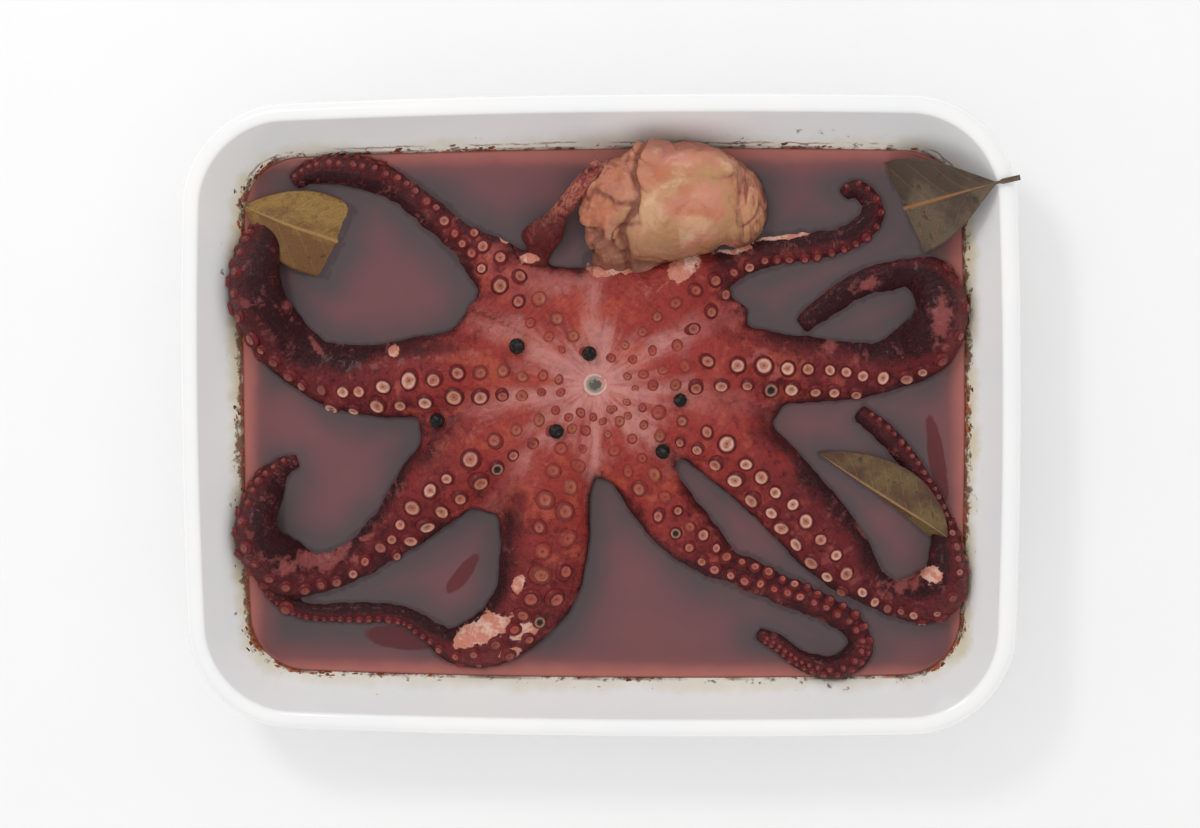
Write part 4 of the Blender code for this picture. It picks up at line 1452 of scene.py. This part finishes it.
class MantleSettings(bpy.types.PropertyGroup):
    voxel: length("Voxel", 0.8, "Size of the skin's cells")
    peach: colour("Peach", 198, 130, 102, "Most of the mantle")
    cream: colour("Cream", 212, 172, 134, "Pale patches")
    green: colour("Yellow green", 186, 140, 94, "Yellowed skin")
    pink: colour("Pink", 194, 118, 104, "Pink blushes")
    flush: colour("Flush", 208, 138, 118, "Rosy side of the mantle")
    orange: colour("Orange", 188, 106, 70, "Orange stains")
    # Brown also paints the shade in the mantle's creases and along its front where it meets the web.
    brown: colour("Brown", 124, 66, 54, "Creases and edges")
    shade: colour("Shade", 96, 52, 50, "Folds at the broth and under the web")


class BrothSettings(bpy.types.PropertyGroup):
    cell: length("Cell", 1.0, "Size of the surface's cells")
    climb: length("Climb", 0.45, "How far the broth climbs what it wets")
    mauve: colour("Mauve", 113, 78, 81, "Open broth")
    # Grey paints the shade and dark reflection of the arms on the broth.
    grey: colour("Grey", 88, 76, 78, "Broth close to the arms")
    shallow: colour("Shallow", 138, 84, 84, "Thin broth over enamel")
    salmon: colour("Salmon", 180, 110, 102, "Edge of the broth on the wall")
    sunk: colour("Sunk", 92, 28, 32, "Flesh just under the surface")
    # This colour paints the dark shaded line where the broth meets flesh and leaves.
    brim_shade: colour("Brim", 52, 34, 38, "Line where broth meets flesh")


class LeafSettings(bpy.types.PropertyGroup):
    thickness: length("Thickness", 0.6, "Thickness of the blades")
    rib: length("Midrib", 0.45, "How far the midrib stands up")


class PeppercornSettings(bpy.types.PropertyGroup):
    seed: IntProperty(name="Seed", description="How the peppercorns are turned", default=3)
    black: colour("Black", 24, 21, 21, "Skin in the hollows")
    dust: colour("Dust", 66, 64, 62, "Worn ridges")
    brown: colour("Brown", 52, 38, 32, "Lighter skin")


class StageSettings(bpy.types.PropertyGroup):
    floor: colour("Floor", 249, 249, 249, "Table top")
    lens: FloatProperty(name="Lens", description="Focal length in millimetres", default=67.7)
    sky: FloatProperty(name="Sky", description="Strength of the even light", default=0.93)
    gloss_sky: FloatProperty(name="Gloss sky", default=0.12,
                             description="Strength of the even light in reflections")
    key: FloatProperty(name="Key", description="Power of the large lamp", default=3.0,
                       unit="POWER")


class DishSettings(bpy.types.PropertyGroup):
    tin: PointerProperty(type=TinSettings)
    residue: PointerProperty(type=ResidueSettings)
    octopus: PointerProperty(type=OctopusSettings)
    suckers: PointerProperty(type=SuckerSettings)
    mantle: PointerProperty(type=MantleSettings)
    broth: PointerProperty(type=BrothSettings)
    leaves: PointerProperty(type=LeafSettings)
    peppercorns: PointerProperty(type=PeppercornSettings)
    stage: PointerProperty(type=StageSettings)


# --- Operators -----------------------------------------------------------------------------------
def skin_tree(name):
    thing = bpy.data.objects.get(name)
    if thing is None:
        raise RuntimeError(f"{name} has to be built first")
    return BVHTree.FromObject(thing, bpy.context.evaluated_depsgraph_get())


class OctopusArms(bpy.types.Operator):
    """Build the arms and the web as one wrinkled skin"""
    bl_idname = "octopus_dish.arms"
    bl_label = "Arms and web"

    def execute(self, context):
        mesh = build_arm_skin(make_arms())
        hand_over(new_object("octopus_skin", mesh, flesh_finish()), "octopus", "octopus")
        return {"FINISHED"}


class OctopusSuckers(bpy.types.Operator):
    """Set two rows of suckers along every arm"""
    bl_idname = "octopus_dish.suckers"
    bl_label = "Suckers"

    def execute(self, context):
        sizes = settings().suckers
        points = sucker_points(make_arms(), skin_tree("octopus_skin"))
        hand_over(scatter("octopus_suckers", sucker_mesh(), points, sucker_finish(),
                          sizes.unevenness, sizes.seed), "octopus")
        return {"FINISHED"}


class OctopusMantle(bpy.types.Operator):
    """Build the mantle that leans on the tin's back wall"""
    bl_idname = "octopus_dish.mantle"
    bl_label = "Mantle"

    def execute(self, context):
        hand_over(new_object("octopus_mantle", build_mantle_skin(), mantle_finish()),
                  "octopus")
        return {"FINISHED"}


class OctopusMouth(bpy.types.Operator):
    """Set the lip and beak in the middle of the web"""
    bl_idname = "octopus_dish.mouth"
    bl_label = "Mouth"

    def execute(self, context):
        above = Vector((MOUTH[0] * MM, MOUTH[1] * MM, TIN_HEIGHT))
        hit, _, _, _ = skin_tree("octopus_skin").ray_cast(above, Vector((0, 0, -1)))
        mesh = mouth_mesh(hit + Vector((0, 0, 0.2 * MM)), Vector((0.05, 0.05, 1)), 4.1 * MM)
        hand_over(new_object("octopus_mouth", mesh, mouth_finish()), "octopus")
        return {"FINISHED"}


class TinAndResidue(bpy.types.Operator):
    """Build the enamelled tin and the burnt crumbs on its wall"""
    bl_idname = "octopus_dish.tin"
    bl_label = "Tin and residue"

    def execute(self, context):
        hand_over(new_object("tin_body", build_tin_mesh(), enamel_finish()), "enamel", "tin")
        dirt = settings().residue
        crumbs = scatter("burnt_crumbs", flake_mesh(), flake_points(), flake_finish(), 0.35,
                         dirt.seed, 0.5)
        hand_over(crumbs, "enamel")
        return {"FINISHED"}


class BayLeaves(bpy.types.Operator):
    """Build the three bay leaves"""
    bl_idname = "octopus_dish.leaves"
    bl_label = "Bay leaves"

    def execute(self, context):
        for name, spec in LEAVES.items():
            finish = leaf_finish(name, spec["hues"])
            leaf = new_object(f"{name}_blade", build_leaf_mesh(name, spec), finish)
            hand_over(leaf, "bay_leaf", name)
        return {"FINISHED"}


class Peppercorns(bpy.types.Operator):
    """Set the peppercorns on the web"""
    bl_idname = "octopus_dish.peppercorns"
    bl_label = "Peppercorns"

    def execute(self, context):
        points = peppercorn_points(skin_tree("octopus_skin"))
        corns = scatter("peppercorns", peppercorn_mesh(), points, peppercorn_finish(), 0.03,
                        settings().peppercorns.seed)
        hand_over(corns, "peppercorn", *peppercorn_nodes())
        return {"FINISHED"}


class BrothPool(bpy.types.Operator):
    """Pour the broth round everything that lies in it"""
    bl_idname = "octopus_dish.broth"
    bl_label = "Broth"

    def execute(self, context):
        wet = [bpy.data.objects[name].data for name in
               ("octopus_skin", "octopus_mantle", *(f"{leaf}_blade" for leaf in LEAVES))]
        hand_over(new_object("broth_pool", build_broth_mesh(wet), broth_finish()),
                  "broth", "broth")
        return {"FINISHED"}


class Stage(bpy.types.Operator):
    """Set the table top, the lamps and the camera"""
    bl_idname = "octopus_dish.stage"
    bl_label = "Stage"

    def execute(self, context):
        values = settings().stage
        wide = 3.0
        floor_mesh = plain_mesh("table_top", [(-wide, -wide, 0), (wide, -wide, 0),
                                              (wide, wide, 0), (-wide, wide, 0)],
                                [(0, 1, 2, 3)])
        paper = Finish("table_top")
        weave = paper.grain(18, 3)
        hue = paper.mix(weave, values.floor, tuple(0.97 * c for c in values.floor))
        new_object("table_top", floor_mesh,
                            paper.paint(Base_Color=hue, Roughness=0.7))

        world = bpy.data.worlds.new("studio")
        world.use_nodes = True
        sky = world.node_tree.nodes["Background"]
        sky.inputs["Color"].default_value = (1, 1, 1, 1)
        rays = world.node_tree.nodes.new("ShaderNodeLightPath")
        strength = world.node_tree.nodes.new("ShaderNodeMapRange")
        strength.inputs["To Min"].default_value = values.sky
        strength.inputs["To Max"].default_value = values.gloss_sky
        world.node_tree.links.new(rays.outputs["Is Glossy Ray"], strength.inputs["Value"])
        world.node_tree.links.new(strength.outputs["Result"], sky.inputs["Strength"])
        context.scene.world = world

        lamp = bpy.data.lights.new("key_lamp", "AREA")
        lamp.energy = values.key
        lamp.size = 0.25
        key = bpy.data.objects.new("key_lamp", lamp)
        key.location = (-0.5, 0.75, 1.1)
        key.rotation_euler = (-Vector(key.location)).to_track_quat("-Z", "Y").to_euler()
        context.scene.collection.objects.link(key)

        camera = bpy.data.cameras.new("camera")
        camera.lens = values.lens
        camera.sensor_width = 36
        camera.clip_start = 0.05
        eye = bpy.data.objects.new("camera", camera)
        eye.location = (0.0753, 0.0448, 0.895)
        ahead = (Vector((0.0015, 0.001, 0.035)) - eye.location).normalized()
        right = ahead.cross(Vector((0.006, 1, 0))).normalized()
        up = right.cross(ahead)
        eye.rotation_euler = Matrix((right, up, -ahead)).transposed().to_euler()
        context.scene.collection.objects.link(eye)
        context.scene.camera = eye
        context.scene.view_settings.view_transform = "Standard"
        return {"FINISHED"}


OPERATORS = (OctopusArms, OctopusSuckers, OctopusMantle, OctopusMouth, TinAndResidue,
             BayLeaves, Peppercorns, BrothPool, Stage)


class OctopusPanel(bpy.types.Panel):
    """Lists the pieces of the dish"""
    bl_idname = "VIEW3D_PT_octopus_dish"
    bl_label = "Octopus in its broth"
    bl_space_type = "VIEW_3D"
    bl_region_type = "UI"
    bl_category = "Octopus"

    def draw(self, context):
        for operator in OPERATORS:
            self.layout.operator(operator.bl_idname)


CLASSES = (TinSettings, ResidueSettings, OctopusSettings, SuckerSettings, MantleSettings,
           BrothSettings, LeafSettings, PeppercornSettings, StageSettings, DishSettings,
           *OPERATORS, OctopusPanel)


def register():
    for item in CLASSES:
        bpy.utils.register_class(item)
    bpy.types.Scene.octopus_dish = PointerProperty(type=DishSettings)


def unregister():
    del bpy.types.Scene.octopus_dish
    for item in reversed(CLASSES):
        bpy.utils.unregister_class(item)


def main():
    register()
    for operator in OPERATORS:
        group, name = operator.bl_idname.split(".")
        getattr(getattr(bpy.ops, group), name)()


if __name__ == "__main__":
    main()
